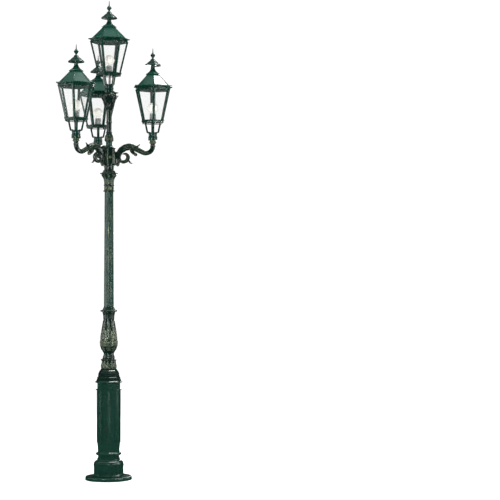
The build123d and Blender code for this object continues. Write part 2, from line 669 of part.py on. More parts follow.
def arm_plate():
    """The plate that bolts on the hub, the block behind the arch and the curl at its foot."""
    plate = Pos(HUB_FLAT + PLATE_THICK / 2, 0, PLATE_FOOT + PLATE_H / 2) * Box(PLATE_THICK, PLATE_W, PLATE_H)
    root_r = ARCH_CENTRE[0] - ARCH_R
    middle = ((HUB_FLAT + root_r) / 2, 0, (ROOT_FOOT + ROOT_TOP) / 2)
    block = Pos(*middle) * Box(root_r - HUB_FLAT, ROOT_W, ROOT_TOP - ROOT_FOOT)
    curl = Pos(FOOT_CURL[0], 0, FOOT_CURL[1]) * Rot(90, 0, 0) * Cylinder(FOOT_CURL_R, FOOT_CURL_W)
    return plate + block + curl


def bolt_places():
    """Where the bolts of one arm stand on its plate."""
    face = HUB_FLAT + PLATE_THICK
    return [Pos(face, side * BOLT_SPACING / 2, BOLT_HEIGHT) * Rot(0, 90, 0) for side in (-1, 1)]


def bracket_arm():
    """One bracket arm, along +X from the hub's foot."""
    arm = arm_bar() + arm_scroll() + arm_leaves() + arm_plate() + arm_end()
    for place in bolt_places():
        arm -= place * Pos(0, 0, -PLATE_THICK / 2) * Cylinder(BOLT_R, PLATE_THICK)
    return arm


def arm_bolts():
    """Hexagon bolts that hold the arms' plates on the hub."""
    head = extrude(RegularPolygon(BOLT_HEAD_FLAT, 6, major_radius=False), BOLT_HEAD_H)
    bolt = Pos(0, 0, -PLATE_THICK / 2) * Cylinder(BOLT_R, PLATE_THICK) + head
    return [Rot(0, 0, angle) * place * bolt for angle in ARM_ANGLES.values() for place in bolt_places()]


def hub_cap():
    """Hexagonal plate that overhangs the hub, with a stepped round cap on it."""
    plate = mitred([(HUB_PLATE_R - 2, 0), (HUB_PLATE_R, 2), (HUB_PLATE_R, HUB_PLATE_H - 1),
                    (HUB_PLATE_R - 3, HUB_PLATE_H)], SIDES, STEM_BORE)
    outline = [(HUB_CAP_R, 0), (HUB_CAP_R, 4, 1.5), (38, 8), (38, 12), (31, 21, -2), (28.5, 26),
               (28.5, HUB_CAP_H - HUB_PLATE_H)]
    return Rot(0, 0, ARM_ANGLES["arm_right"]) * plate + Pos(0, 0, HUB_PLATE_H) * turned(outline, STEM_BORE)


def top_stem():
    """Stem between the hub's cap and its leaf capital, with a leaf bulb at its foot."""
    outline = [(28.5, 0), (32, 4), (STEM_BULB_R, 20, 3), (33, 50, 1.5), (25.5, 79, -1), (27.5, 82),
               (27.5, 88, 1.5), (STEM_R, 91), (STEM_R, 168), (27, 171), (27, 178, 1.5), (STEM_R, 181),
               (STEM_R, STEM_H)]
    return turned(outline, STEM_BORE)


def stem_capital():
    """Leaf capital that carries the top lantern, with the spigot for its socket."""
    top = STEM_CAPITAL_H
    rim = top - 28
    outline = [(STEM_R, 0), (32, 3), (32, 12, 2), (29, 15), (33, 23), (42, 53, -1), (58, 84, -2),
               (69, rim - 18, 1), (STEM_FLARE_R - 4, rim - 4, -1), (STEM_FLARE_R, rim),
               (STEM_FLARE_R, rim + 6, 1), (55, rim + 9), (45, rim + 17, -2), (STEM_TOP_R, rim + 20),
               (STEM_TOP_R, top - 4, 1), (STEM_TOP_R - 3, top), (SPIGOT_R, top), (SPIGOT_R, top + SPIGOT_H)]
    return turned(outline, STEM_BORE)


# ---------------------------------------------------------------- lantern, from its socket's foot
def lantern_bracket():
    """Socket with two rings, and four flat legs that carry the gallery."""
    ring = SOCKET_RING_HEIGHT
    outline = [(SOCKET_R, 0), (SOCKET_R + 1, 2), (SOCKET_R + 1, ring - 10), (SOCKET_R - 1.5, ring - 7),
               (SOCKET_R - 1.5, ring - 4), (SOCKET_RING_R, ring - 1), (SOCKET_RING_R, ring + 1, 0.5),
               (SOCKET_WAIST_R + 1.5, ring + 4), (SOCKET_WAIST_R, SOCKET_WAIST_H - 5),
               (SOCKET_WAIST_R, SOCKET_WAIST_H + 5),
               (SOCKET_R, SOCKET_H - 9, -1), (SOCKET_R + 1, SOCKET_H - 7), (SOCKET_R + 1, SOCKET_H - 3, 0.5),
               (SOCKET_R - 3, SOCKET_H)]
    socket = turned(outline, CONDUIT_R + LEAD_OFFSET)
    socket -= Pos(0, 0, (SPIGOT_H + 2) / 2) * Cylinder(SPIGOT_R + SOCKET_CLEAR, SPIGOT_H + 2)
    foot = SOCKET_H - LEG_THICK / 2
    corner = (LEG_FOOT_R, foot)
    strap = make_face(Polyline((LEG_INNER_R, foot), corner, (LEG_TOP_R, PLATE_Z),
                               (LEG_TOP_R - LEG_THICK, PLATE_Z), (LEG_FOOT_R - LEG_THICK, foot + LEG_THICK),
                               (LEG_INNER_R, foot + LEG_THICK), close=True))
    strap = fillet(strap.vertices().sort_by_distance((*corner, 0))[0], LEG_BEND)
    leg = extrude(Plane.XZ * strap, amount=LEG_W / 2, both=True)
    return socket + ring_of(leg, LEGS)


def lantern_gallery():
    """Rim plate of the lantern with its slotted skirt below."""
    section = [(RIM_R - 2, 0), (RIM_R, 2), (RIM_R, RIM_H - 3), (RIM_R - 4, RIM_H)]
    rim = Pos(0, 0, PLATE_Z) * mitred(section, SIDES, 22.0)
    skirt = Pos(0, 0, GALLERY_FOOT) * mitred([(SKIRT_R, 0), (SKIRT_R, SKIRT_H)], SIDES, SKIRT_R - SKIRT_WALL)
    slot = Box(SKIRT_WALL * 4, SLOT_W, SLOT_H)
    flat = SKIRT_R * cos(pi / SIDES)
    across = [(k - (SLOTS_PER_SIDE - 1) / 2) * SLOT_PITCH for k in range(SLOTS_PER_SIDE)]
    row = [Pos(flat, y, GALLERY_FOOT + SKIRT_H / 2) * slot for y in across]
    cuts = [piece for one in row for piece in ring_of(one, SIDES)]
    return rim + (skirt - cuts)


def lantern_frame():
    """Corner bars and the fascia round their tops, with a stud at each corner and the hinge's fixed knuckles."""
    inset = BAR_THICK / cos(pi / SIDES)
    shell = frustum(SIDES, GLASS_FOOT_R, GLASS_TOP_R, GLAZED_H)
    shell -= frustum(SIDES, GLASS_FOOT_R - inset, GLASS_TOP_R - inset, GLAZED_H)
    foot_w = 2 * GLASS_FOOT_R * sin(pi / SIDES) - 2 * BAR_W
    top_w = 2 * GLASS_TOP_R * sin(pi / SIDES) - 2 * BAR_W
    low = Pos(GLASS_FOOT_R * cos(pi / SIDES), 0, 0) * Rectangle(8 * BAR_THICK, foot_w)
    high = Pos(GLASS_TOP_R * cos(pi / SIDES), 0, GLAZED_H) * Rectangle(8 * BAR_THICK, top_w)
    bars = shell - ring_of(loft([low, high], ruled=True), SIDES)
    fascia = mitred([(GLASS_TOP_R, 0), (FASCIA_R - 2, 2), (FASCIA_R - 2, 10), (FASCIA_R - FASCIA_STEP, 13),
                     (FASCIA_R - FASCIA_STEP, 18), (FASCIA_R, FASCIA_H - 4, -1), (FASCIA_R, FASCIA_H)],
                    SIDES, FASCIA_R - FASCIA_STEP - FASCIA_WALL)
    stud = Pos(FASCIA_R - 4, 0, 6) * Rot(0, 90, 0) * Cylinder(STUD_R, STUD_OUT * 2)
    fascia += ring_of(stud, SIDES, 180 / SIDES)
    frame = Pos(0, 0, GLASS_Z) * bars + Pos(0, 0, FASCIA_Z) * fascia
    return frame + fixed_knuckles()


def roof_hinge_reach():
    """Distance from the lantern's axis to its roof's hinge line."""
    return EAVE_R * cos(pi / SIDES) + ROOF_BARREL_R + MOVING_GAP * 2


def on_hinge(piece, across):
    """Set a piece made round the Z axis on the roof's hinge line."""
    return Pos(roof_hinge_reach(), across, EAVE_Z) * Rot(90, 0, 0) * piece


def fixed_knuckles():
    """The two knuckles of the roof's hinge that belong to the frame, on lugs under the eave."""
    reach = roof_hinge_reach()
    wall = (FASCIA_R - FASCIA_STEP - FASCIA_WALL / 2) * cos(pi / SIDES)
    lug_top = EAVE_Z - 2 * MOVING_GAP
    knuckles = []
    for side in (-1, 1):
        across = side * (ROOF_KNUCKLE / 2 + KNUCKLE_GAP + FRAME_KNUCKLE / 2)
        lug = Pos((wall + reach) / 2, across, lug_top - LUG_H / 2) * Box(reach - wall, FRAME_KNUCKLE, LUG_H)
        tube = on_hinge(Cylinder(ROOF_BARREL_R, FRAME_KNUCKLE), across)
        knuckles.append((lug + tube) - on_hinge(Cylinder(ROOF_PIN_R + PIN_CLEAR, FRAME_KNUCKLE * 2), across))
    return knuckles


def lantern_panes():
    """Six clear panes behind the corner bars, standing on the rim."""
    inset = (BAR_THICK + PANE_GAP) / cos(pi / SIDES)
    panes = []
    for level, radius in ((0.0, GLASS_FOOT_R - inset), (GLAZED_H, GLASS_TOP_R - inset)):
        width = 2 * (radius * sin(pi / SIDES) - PANE_EDGE)
        place = Pos(radius * cos(pi / SIDES) - PANE_THICK / 2, 0, GLASS_Z + level)
        panes.append(place * Rectangle(PANE_THICK, width))
    return ring_of(loft(panes, ruled=True), SIDES)


def lantern_roof():
    """Eave flange, hollow hexagonal roof, cap and crown, with the moving knuckle of the hinge."""
    section = [(EAVE_R, 0), (EAVE_R, EAVE_H - 3), (EAVE_R - 4, EAVE_H - MOVING_GAP)]
    eave = Pos(0, 0, EAVE_Z + MOVING_GAP) * mitred(section, SIDES, ROOF_FOOT_R - 2 * ROOF_WALL)
    hollow = frustum(SIDES, ROOF_FOOT_R - 2 * ROOF_WALL, ROOF_TOP_R - ROOF_WALL, ROOF_H - ROOF_WALL)
    shell = Pos(0, 0, ROOF_Z) * (frustum(SIDES, ROOF_FOOT_R, ROOF_TOP_R, ROOF_H) - hollow)
    cap = [(ROOF_TOP_R - 2, 0), (CAP_R, 2), (CAP_R, CAP_H - 3, 0.5), (CROWN_R + 4, CAP_H)]
    cap = Pos(0, 0, CAP_Z) * mitred(cap, SIDES, VENT_R)
    section = [(CROWN_R, 0), (CROWN_R, 6), (CROWN_R - 15, CROWN_H)]
    crown = Pos(0, 0, CAP_Z + CAP_H) * mitred(section, SIDES, VENT_R)
    vent = Pos(0, 0, CAP_Z - ROOF_WALL / 2) * Cylinder(VENT_R, 3 * ROOF_WALL)
    roof = eave + shell + cap + crown - vent
    reach = roof_hinge_reach()
    lug = Pos(reach - 4, 0, EAVE_Z + MOVING_GAP + 2) * Box(12, ROOF_KNUCKLE, 4)
    knuckle = on_hinge(Cylinder(ROOF_BARREL_R, ROOF_KNUCKLE), 0)
    bore = on_hinge(Cylinder(ROOF_PIN_R + PIN_CLEAR, ROOF_KNUCKLE * 2), 0)
    return roof + lug + knuckle - bore


def lantern_hat():
    """Stepped bell-shaped hat on a round neck."""
    brim = HAT_NECK_H + 7
    outline = [(CROWN_R - 19, 0), (33, 7), (24, 20, -2), (HAT_NECK_R, 33, -1), (HAT_NECK_R, HAT_NECK_H + 12),
               (30, HAT_NECK_H + 12), (HAT_R - 8, brim), (HAT_R - 1, brim - 1), (HAT_R, brim + 2),
               (HAT_R - 1, brim + 6, 1), (66, brim + 12, 1), (57, brim + 19, 1), (50, brim + 22), (47, brim + 29, 1),
               (40, brim + 33), (36, brim + 38, 1), (30, brim + 42), (24, brim + 47, -1), (22, brim + 52, 0.5),
               (16.5, brim + 60, 1.5), (FINIAL_NECK_R + 2.5, HAT_H - 4, 0.5), (FINIAL_NECK_R, HAT_H - 3),
               (FINIAL_NECK_R, HAT_H)]
    return Pos(0, 0, HAT_Z) * turned(outline)


def lantern_finial():
    """Ringed ball and spike."""
    ring = FINIAL_RING_H
    outline = [(FINIAL_NECK_R, 0), (FINIAL_NECK_R, 2), (12, ring - 16, 1), (BALL_R, ring - 7, 2),
               (BALL_RING_R, ring - 2), (BALL_RING_R, ring + 2, 0.5), (BALL_R, ring + 5), (15, ring + 12, 1),
               (10.5, ring + 16, 1), (SPIKE_FOOT_R, ring + 19), (SPIKE_R + 1, ring + 32, -1),
               (SPIKE_R, ring + 46), (SPIKE_R * 0.75, FINIAL_H - 2), (0.01, FINIAL_H, 0.4)]
    return Pos(0, 0, FINIAL_Z) * turned(outline)


def lamp_holder():
    """Lamp holder on the rim plate, with its conduit and lead coming up from the socket."""
    outline = [(HOLDER_R + 6, 0), (HOLDER_R + 6, 5), (HOLDER_R, 7), (HOLDER_R, HOLDER_H - 8),
               (HOLDER_R - 3, HOLDER_H - 5), (HOLDER_R - 3, HOLDER_H)]
    base = Pos(0, 0, GLASS_Z) * turned(outline)
    length = GLASS_Z - SPIGOT_H - 4
    conduit = Pos(0, 0, GLASS_Z - length / 2) * Cylinder(CONDUIT_R, length)
    lead = Pos(LEAD_OFFSET, 0, GLASS_Z - length / 2) * Cylinder(LEAD_R, length)
    return base + conduit + lead


def bulb():
    """Frosted globe lamp standing in the holder."""
    foot = GLASS_Z + HOLDER_H
    neck = Pos(0, 0, foot + BULB_NECK_H / 2) * Cylinder(BULB_NECK_R, BULB_NECK_H)
    sink = (BULB_R ** 2 - BULB_NECK_R ** 2) ** 0.5
    globe = Pos(0, 0, foot + BULB_NECK_H + sink - 0.5) * Sphere(BULB_R)
    return neck + globe


# ---------------------------------------------------------------- setting the lanterns and the small fasteners
def lantern_places():
    """Where each lantern's socket stands: x, y and z of its foot."""
    places = {"top": (0, 0, TOP_LANTERN_Z)}
    for arm, angle in ARM_ANGLES.items():
        turn = radians(angle)
        places[arm.split("_")[1]] = (ARM_REACH * cos(turn), ARM_REACH * sin(turn), ARM_LANTERN_Z)
    return places


def set_screws():
    """Round-headed set screws: four round the hub's cylinder and two in each lantern's socket."""
    screw = Pos(0, 0, SCREW_HEAD_H / 2) * Cylinder(SCREW_HEAD_R, SCREW_HEAD_H)
    hub = Pos(0, 0, CAPITAL_Z + CAPITAL_H + HUB_SOCKET_H / 2)
    screws = ring_of(hub * on_flat(screw, HUB_SOCKET_R, 0, 0), HUB_SCREWS, HUB_SCREW_TURN)
    for name, place in lantern_places().items():
        direction = LANTERN_TURNS[name][0] + 90
        for way in (direction, direction + 180):
            screws.append(Pos(*place) * on_flat(screw, SOCKET_WAIST_R, SOCKET_WAIST_H, way))
    return screws


def roof_hinge_pins():
    """One pin through the three knuckles of each lantern's roof hinge."""
    length = ROOF_KNUCKLE + 2 * (KNUCKLE_GAP + FRAME_KNUCKLE)
    pin = on_hinge(Cylinder(ROOF_PIN_R, length), 0)
    return [Pos(*place) * Rot(0, 0, LANTERN_TURNS[name][0]) * pin for name, place in lantern_places().items()]


# ---------------------------------------------------------------- the whole post
def solids_of(piece):
    """All the solids of a piece or a list of pieces."""
    pieces = piece if isinstance(piece, list) else [piece]
    return [solid for one in pieces for solid in one.solids()]


def post_nodes():
    """The castings and fittings of the post itself."""
    nodes = {
        "foundation_flange": foundation_flange(),
        "base_plinth": Pos(0, 0, PLINTH_Z) * base_plinth(),
        "base_column": Pos(0, 0, COLUMN_Z) * base_column(),
        "service_door": Pos(0, 0, COLUMN_Z) * service_door(),
        "door_lock": Pos(0, 0, COLUMN_Z) * door_lock(),
        "door_hinge_pins": [Pos(0, 0, COLUMN_Z) * pin for pin in door_hinge_pins()],
        "terminal_box": Pos(0, 0, COLUMN_Z) * terminal_box(),
        "column_cornice": Pos(0, 0, CORNICE_Z) * column_cornice(),
        "leaf_cone": Pos(0, 0, CONE_Z) * leaf_cone(),
        "baluster": Pos(0, 0, BALUSTER_Z) * baluster(),
        "fluted_shaft": Pos(0, 0, SHAFT_Z) * fluted_shaft(),
        "capital": Pos(0, 0, CAPITAL_Z) * capital(),
        "capital_rosettes": [Pos(0, 0, CAPITAL_Z) * one for one in capital_rosettes()],
        "arm_hub": Pos(0, 0, HUB_Z) * arm_hub(),
        "hub_rosettes": [Pos(0, 0, HUB_Z) * one for one in hub_rosettes()],
        "arm_bolts": [Pos(0, 0, HUB_Z) * one for one in arm_bolts()],
        "hub_cap": Pos(0, 0, HUB_CAP_Z) * hub_cap(),
        "top_stem": Pos(0, 0, STEM_Z) * top_stem(),
        "stem_capital": Pos(0, 0, STEM_CAPITAL_Z) * stem_capital(),
        "set_screws": set_screws(),
        "roof_hinge_pins": roof_hinge_pins(),
    }
    arm = bracket_arm()
    for name, angle in ARM_ANGLES.items():
        nodes[name] = Pos(0, 0, HUB_Z) * Rot(0, 0, angle) * arm
    return nodes


def lantern_nodes():
    """Four alike lanterns, each with its own nodes, set on the arms and on the stem."""
    turned_with_roof = {
        "gallery": lantern_gallery(),
        "frame": lantern_frame(),
        "panes": lantern_panes(),
        "roof": lantern_roof(),
        "hat": lantern_hat(),
        "finial": lantern_finial(),
        "lamp_holder": lamp_holder(),
        "bulb": bulb(),
    }
    bracket = lantern_bracket()
    nodes = {}
    for name, place in lantern_places().items():
        hinge_turn, leg_turn = LANTERN_TURNS[name]
        nodes["bracket_" + name] = Pos(*place) * Rot(0, 0, hinge_turn + leg_turn) * bracket
        for piece, shape in turned_with_roof.items():
            shapes = shape if isinstance(shape, list) else [shape]
            nodes[piece + "_" + name] = [Pos(*place) * Rot(0, 0, hinge_turn) * one for one in shapes]
    return nodes


os.makedirs("parts", exist_ok=True)
for node, shape in {**post_nodes(), **lantern_nodes()}.items():
    export_step(Compound(children=solids_of(shape)), "parts/" + node + ".step")
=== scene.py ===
# %% [markdown]
# # A cast garden lamp post
#
# The post stands about 4.3 m tall: an octagonal base with a service door, a vase-shaped casting, a fluted
# shaft, a capital, and a hexagonal hub that carries scrolled arms and a stem with hexagonal lanterns.
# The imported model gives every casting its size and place. This lesson adds what a foundry and a painter
# add: carved leaves, beads, glazing, dark green paint and old gold.

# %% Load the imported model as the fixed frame
import json
import math

import bpy
import numpy as np
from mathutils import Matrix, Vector
from mathutils.bvhtree import BVHTree


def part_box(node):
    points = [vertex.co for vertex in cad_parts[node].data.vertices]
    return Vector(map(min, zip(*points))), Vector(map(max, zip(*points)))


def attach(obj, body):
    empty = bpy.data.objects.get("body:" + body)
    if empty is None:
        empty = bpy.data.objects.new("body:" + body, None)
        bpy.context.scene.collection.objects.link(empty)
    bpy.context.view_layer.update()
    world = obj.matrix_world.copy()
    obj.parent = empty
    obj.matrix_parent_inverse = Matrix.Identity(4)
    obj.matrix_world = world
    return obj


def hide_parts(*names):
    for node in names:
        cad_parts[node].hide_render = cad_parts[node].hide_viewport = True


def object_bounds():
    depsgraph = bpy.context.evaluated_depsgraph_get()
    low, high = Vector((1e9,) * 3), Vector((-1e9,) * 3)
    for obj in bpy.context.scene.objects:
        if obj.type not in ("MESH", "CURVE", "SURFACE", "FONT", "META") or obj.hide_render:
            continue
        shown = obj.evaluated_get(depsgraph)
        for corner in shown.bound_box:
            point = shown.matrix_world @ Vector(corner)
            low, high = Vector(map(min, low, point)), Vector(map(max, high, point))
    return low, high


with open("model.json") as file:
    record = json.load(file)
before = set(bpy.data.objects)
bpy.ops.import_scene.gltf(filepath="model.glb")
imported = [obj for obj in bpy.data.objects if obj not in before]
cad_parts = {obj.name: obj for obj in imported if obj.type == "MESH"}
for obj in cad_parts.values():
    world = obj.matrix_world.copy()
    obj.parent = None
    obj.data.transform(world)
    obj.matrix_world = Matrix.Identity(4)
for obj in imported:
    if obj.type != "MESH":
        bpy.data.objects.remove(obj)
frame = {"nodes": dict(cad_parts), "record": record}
NODES = frame["nodes"]
MM = 0.001
cad_low, cad_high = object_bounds()
print("the post measures", [round(side, 3) for side in cad_high - cad_low], "m")

# %% [markdown]
# ## Camera
#
# The picture shows the whole post at the left of a square frame, from about 13.5 m away and from eye
# height. A long lens that far away keeps uprights parallel. Two things are known in the picture: where the
# axis of the post stands, and how many millimetres of the post one pixel holds. The camera looks past the
# post by the angle that puts the axis in that place, which needs no lens shift.

# %% Place the camera from what the picture shows
PICTURE_PX = 500
AXIS_PX = (108.9, 478.75)
HORIZON_PX = 270.0
MM_PER_PX = 9.0
CAMERA_DISTANCE = 13.5
CAMERA_AZIMUTH = math.radians(22.5)
SENSOR_MM = 36.0


def aim_camera():
    """Stands the camera at eye height and turns it until the axis lies where the picture has it."""
    pixel_m = MM_PER_PX * MM
    focal_px = CAMERA_DISTANCE / pixel_m
    turn = math.atan((PICTURE_PX / 2 - AXIS_PX[0]) / focal_px)
    tilt = math.atan((HORIZON_PX - PICTURE_PX / 2) / focal_px)
    eye = (AXIS_PX[1] - HORIZON_PX) * pixel_m
    reach = CAMERA_DISTANCE / math.cos(turn)
    data = bpy.data.cameras.new("camera")
    data.sensor_width = SENSOR_MM
    data.lens = SENSOR_MM * focal_px / PICTURE_PX
    data.clip_end = 200.0
    camera = bpy.data.objects.new("camera", data)
    bpy.context.scene.collection.objects.link(camera)
    camera.location = (reach * math.sin(CAMERA_AZIMUTH), -reach * math.cos(CAMERA_AZIMUTH), eye)
    camera.rotation_euler = (math.pi / 2 + tilt, 0, CAMERA_AZIMUTH - turn)
    bpy.context.scene.camera = camera
    print("lens", round(data.lens, 1), "mm, eye height", round(eye, 2), "m")


aim_camera()

# %% [markdown]
# ## Floor and light
#
# The post is photographed on pure white. Dark glossy paint mirrors whatever stands round it, so an evenly
# white room would turn it grey. The world therefore shows white to the camera and to matt surfaces, but
# mirrors see a darker studio. Tall soft boxes draw the long upright highlights along the shaft, and they
# stand on all sides, so that the post reads well from any side.

# %% Make the floor
WHITE = (1, 1, 1, 1)
FLOOR_SIZE = 120.0
FLOOR_DROP = 0.5 * MM
FLOOR_TONE = (0.93, 0.93, 0.93, 1)
FLOOR_GLOW = 0.62


def node_adder(tree):
    """A function that adds a node to a tree, and sets each of its inputs or links it to another node's output."""
    def add(kind, inputs=None, **settings):
        made = tree.nodes.new(kind)
        for key, value in settings.items():
            setattr(made, key, value)
        for key, value in (inputs or {}).items():
            if isinstance(value, bpy.types.NodeSocket):
                tree.links.new(value, made.inputs[key])
            else:
                made.inputs[key].default_value = value
        return made
    return add


def node_material(name):
    """A new material, its Principled shader and a function that adds nodes to its tree."""
    material = bpy.data.materials.new(name)
    material.use_nodes = True
    tree = material.node_tree
    return material, tree.nodes["Principled BSDF"], node_adder(tree)


def set_sockets(shader, values):
    """Sets numbers and colours that are the same all over a surface."""
    for name, value in values.items():
        shader.inputs[name].default_value = value


def make_floor():
    """A large pale floor, lit from below like a photographer's glowing sweep, so that it has no edge."""
    half = FLOOR_SIZE / 2
    mesh = bpy.data.meshes.new("floor")
    corners = [(-half, -half, 0), (half, -half, 0), (half, half, 0), (-half, half, 0)]
    mesh.from_pydata(corners, [], [(0, 1, 2, 3)])
    floor = bpy.data.objects.new("floor", mesh)
    floor.location = (0, 0, cad_low.z - FLOOR_DROP)
    bpy.context.scene.collection.objects.link(floor)
    material, shader, _ = node_material("pale_floor")
    set_sockets(shader, {"Base Color": FLOOR_TONE, "Roughness": 0.9, "Specular IOR Level": 0.0,
                         "Emission Color": WHITE, "Emission Strength": FLOOR_GLOW})
    mesh.materials.append(material)
    floor.visible_glossy = False


make_floor()

# %% Make the studio round the post
SOFT_BOXES = [
    # azimuth from the camera's side, distance, width, height, middle height, power
    (-24, 6.0, 0.34, 4.6, 2.9, 130),
    (-78, 5.0, 0.5, 5.0, 2.6, 70),
    (62, 5.0, 0.45, 5.0, 2.6, 95),
    (118, 5.5, 0.5, 5.0, 2.6, 45),
    (-116, 5.5, 0.5, 5.0, 2.6, 40),
    (172, 6.0, 0.5, 4.6, 2.9, 75),
]
# to the right of the camera's view, towards the back, height, side, power
TOP_BOX = (2.6, 0.9, 7.5, 1.7, 200)
# heights on the axis that the boxes face: the tall ones no higher than the first, the top one the second
BOX_AIM, TOP_AIM = 3.0, 1.5
STUDIO_LOW = (0.035, 0.042, 0.040, 1)
STUDIO_DARK = (0.008, 0.012, 0.012, 1)
STUDIO_PALE = (0.62, 0.74, 0.70, 1)
# the studio that mirrors see, from straight down at 0 to straight up at 1
STUDIO_STOPS = [(0.30, STUDIO_LOW), (0.49, STUDIO_DARK), (0.80, STUDIO_DARK), (0.96, STUDIO_PALE)]
OPEN_LIGHT = 1.05
MATT_LIGHT = 0.46


def soft_box(name, place, target, width, height, power):
    """A rectangular lamp that faces a point. The camera doesn't see it, but the paint mirrors it."""
    data = bpy.data.lights.new(name, "AREA")
    data.shape = "RECTANGLE"
    data.size, data.size_y = width, height
    data.energy = power
    lamp = bpy.data.objects.new(name, data)
    bpy.context.scene.collection.objects.link(lamp)
    lamp.location = place
    lamp.rotation_mode = "QUATERNION"
    lamp.rotation_quaternion = (Vector(target) - Vector(place)).to_track_quat("-Z", "Y")
    lamp.visible_camera = False


def light_studio():
    """Soft boxes all round, one overhead, and the world behind them. Each kind of ray sees its own world."""
    for count, (azimuth, away, width, height, middle, power) in enumerate(SOFT_BOXES):
        angle = CAMERA_AZIMUTH + math.radians(azimuth)
        place = (away * math.sin(angle), -away * math.cos(angle), middle)
        soft_box(f"soft_box_{count}", place, (0, 0, min(middle, BOX_AIM)), width, height, power)
    right, back, height, side, power = TOP_BOX
    across = Vector((math.cos(CAMERA_AZIMUTH), math.sin(CAMERA_AZIMUTH), 0))
    away = Vector((-math.sin(CAMERA_AZIMUTH), math.cos(CAMERA_AZIMUTH), 0))
    place = across * right + away * back + Vector((0, 0, height))
    soft_box("soft_box_top", place, (0, 0, TOP_AIM), side, side, power)
    world = bpy.data.worlds.new("studio")
    bpy.context.scene.world = world
    world.use_nodes = True
    tree = world.node_tree
    tree.nodes.clear()
    add = node_adder(tree)
    ray = add("ShaderNodeLightPath").outputs
    split = add("ShaderNodeSeparateXYZ", {0: add("ShaderNodeTexCoord").outputs["Generated"]})
    rise = add("ShaderNodeMath", {0: split.outputs["Z"], 1: 0.5, 2: 0.5}, operation="MULTIPLY_ADD")
    ramp = add("ShaderNodeValToRGB", {0: rise.outputs[0]})
    stops = ramp.color_ramp.elements
    for count, (position, colour) in enumerate(STUDIO_STOPS):
        stop = stops[count] if count < 2 else stops.new(position)
        stop.position, stop.color = position, colour
    mirrored = add("ShaderNodeBackground", {"Color": ramp.outputs[0]})
    white, matt = (add("ShaderNodeBackground", {"Color": WHITE, "Strength": strength}).outputs[0]
                   for strength in (OPEN_LIGHT, MATT_LIGHT))
    soft = add("ShaderNodeMixShader", {0: ray["Is Diffuse Ray"], 1: white, 2: matt})
    mix = add("ShaderNodeMixShader", {0: ray["Is Glossy Ray"], 1: soft.outputs[0], 2: mirrored.outputs[0]})
    add("ShaderNodeOutputWorld", {"Surface": mix.outputs[0]})
    bpy.context.scene.view_settings.view_transform = "Standard"


light_studio()

# %% [markdown]
# ## Paint
#
# The castings wear a dark green, half-gloss paint over sand-cast metal. Up close it isn't one colour: its tone
# drifts, painted shade darkens the hollows of carved pieces, and the sand's grain shows as a faint orange-peel bump.
# Over the raised leaves a painter has dragged a nearly dry brush of old gold, so it catches on ridges and breaks up
# between them.
# One builder makes the green, and a mask says where the gold lies. A point attribute named gold carries
# that mask on carved meshes, because only the carving knows where its ridges are.

# %% Green paint with brushed gold
# the darkest green is painted shade, for hollows and for what the gold mask leaves out
GREEN_PAINTED_SHADE = (0.0008, 0.010, 0.0065, 1)
GREEN_DEEP = (0.0015, 0.020, 0.0125, 1)
GREEN_FRESH = (0.0040, 0.038, 0.0245, 1)
GOLD_WORN = (0.72, 0.69, 0.42, 1)
GOLD_DULL = (0.20, 0.21, 0.115, 1)
GOLD_METAL = 0.65
GOLD_ROUGHER = 0.12


def mixed(add, factor, first, second):
    """A colour between two, by a factor."""
    return add("ShaderNodeMix", {0: factor, 6: first, 7: second}, data_type="RGBA").outputs[2]


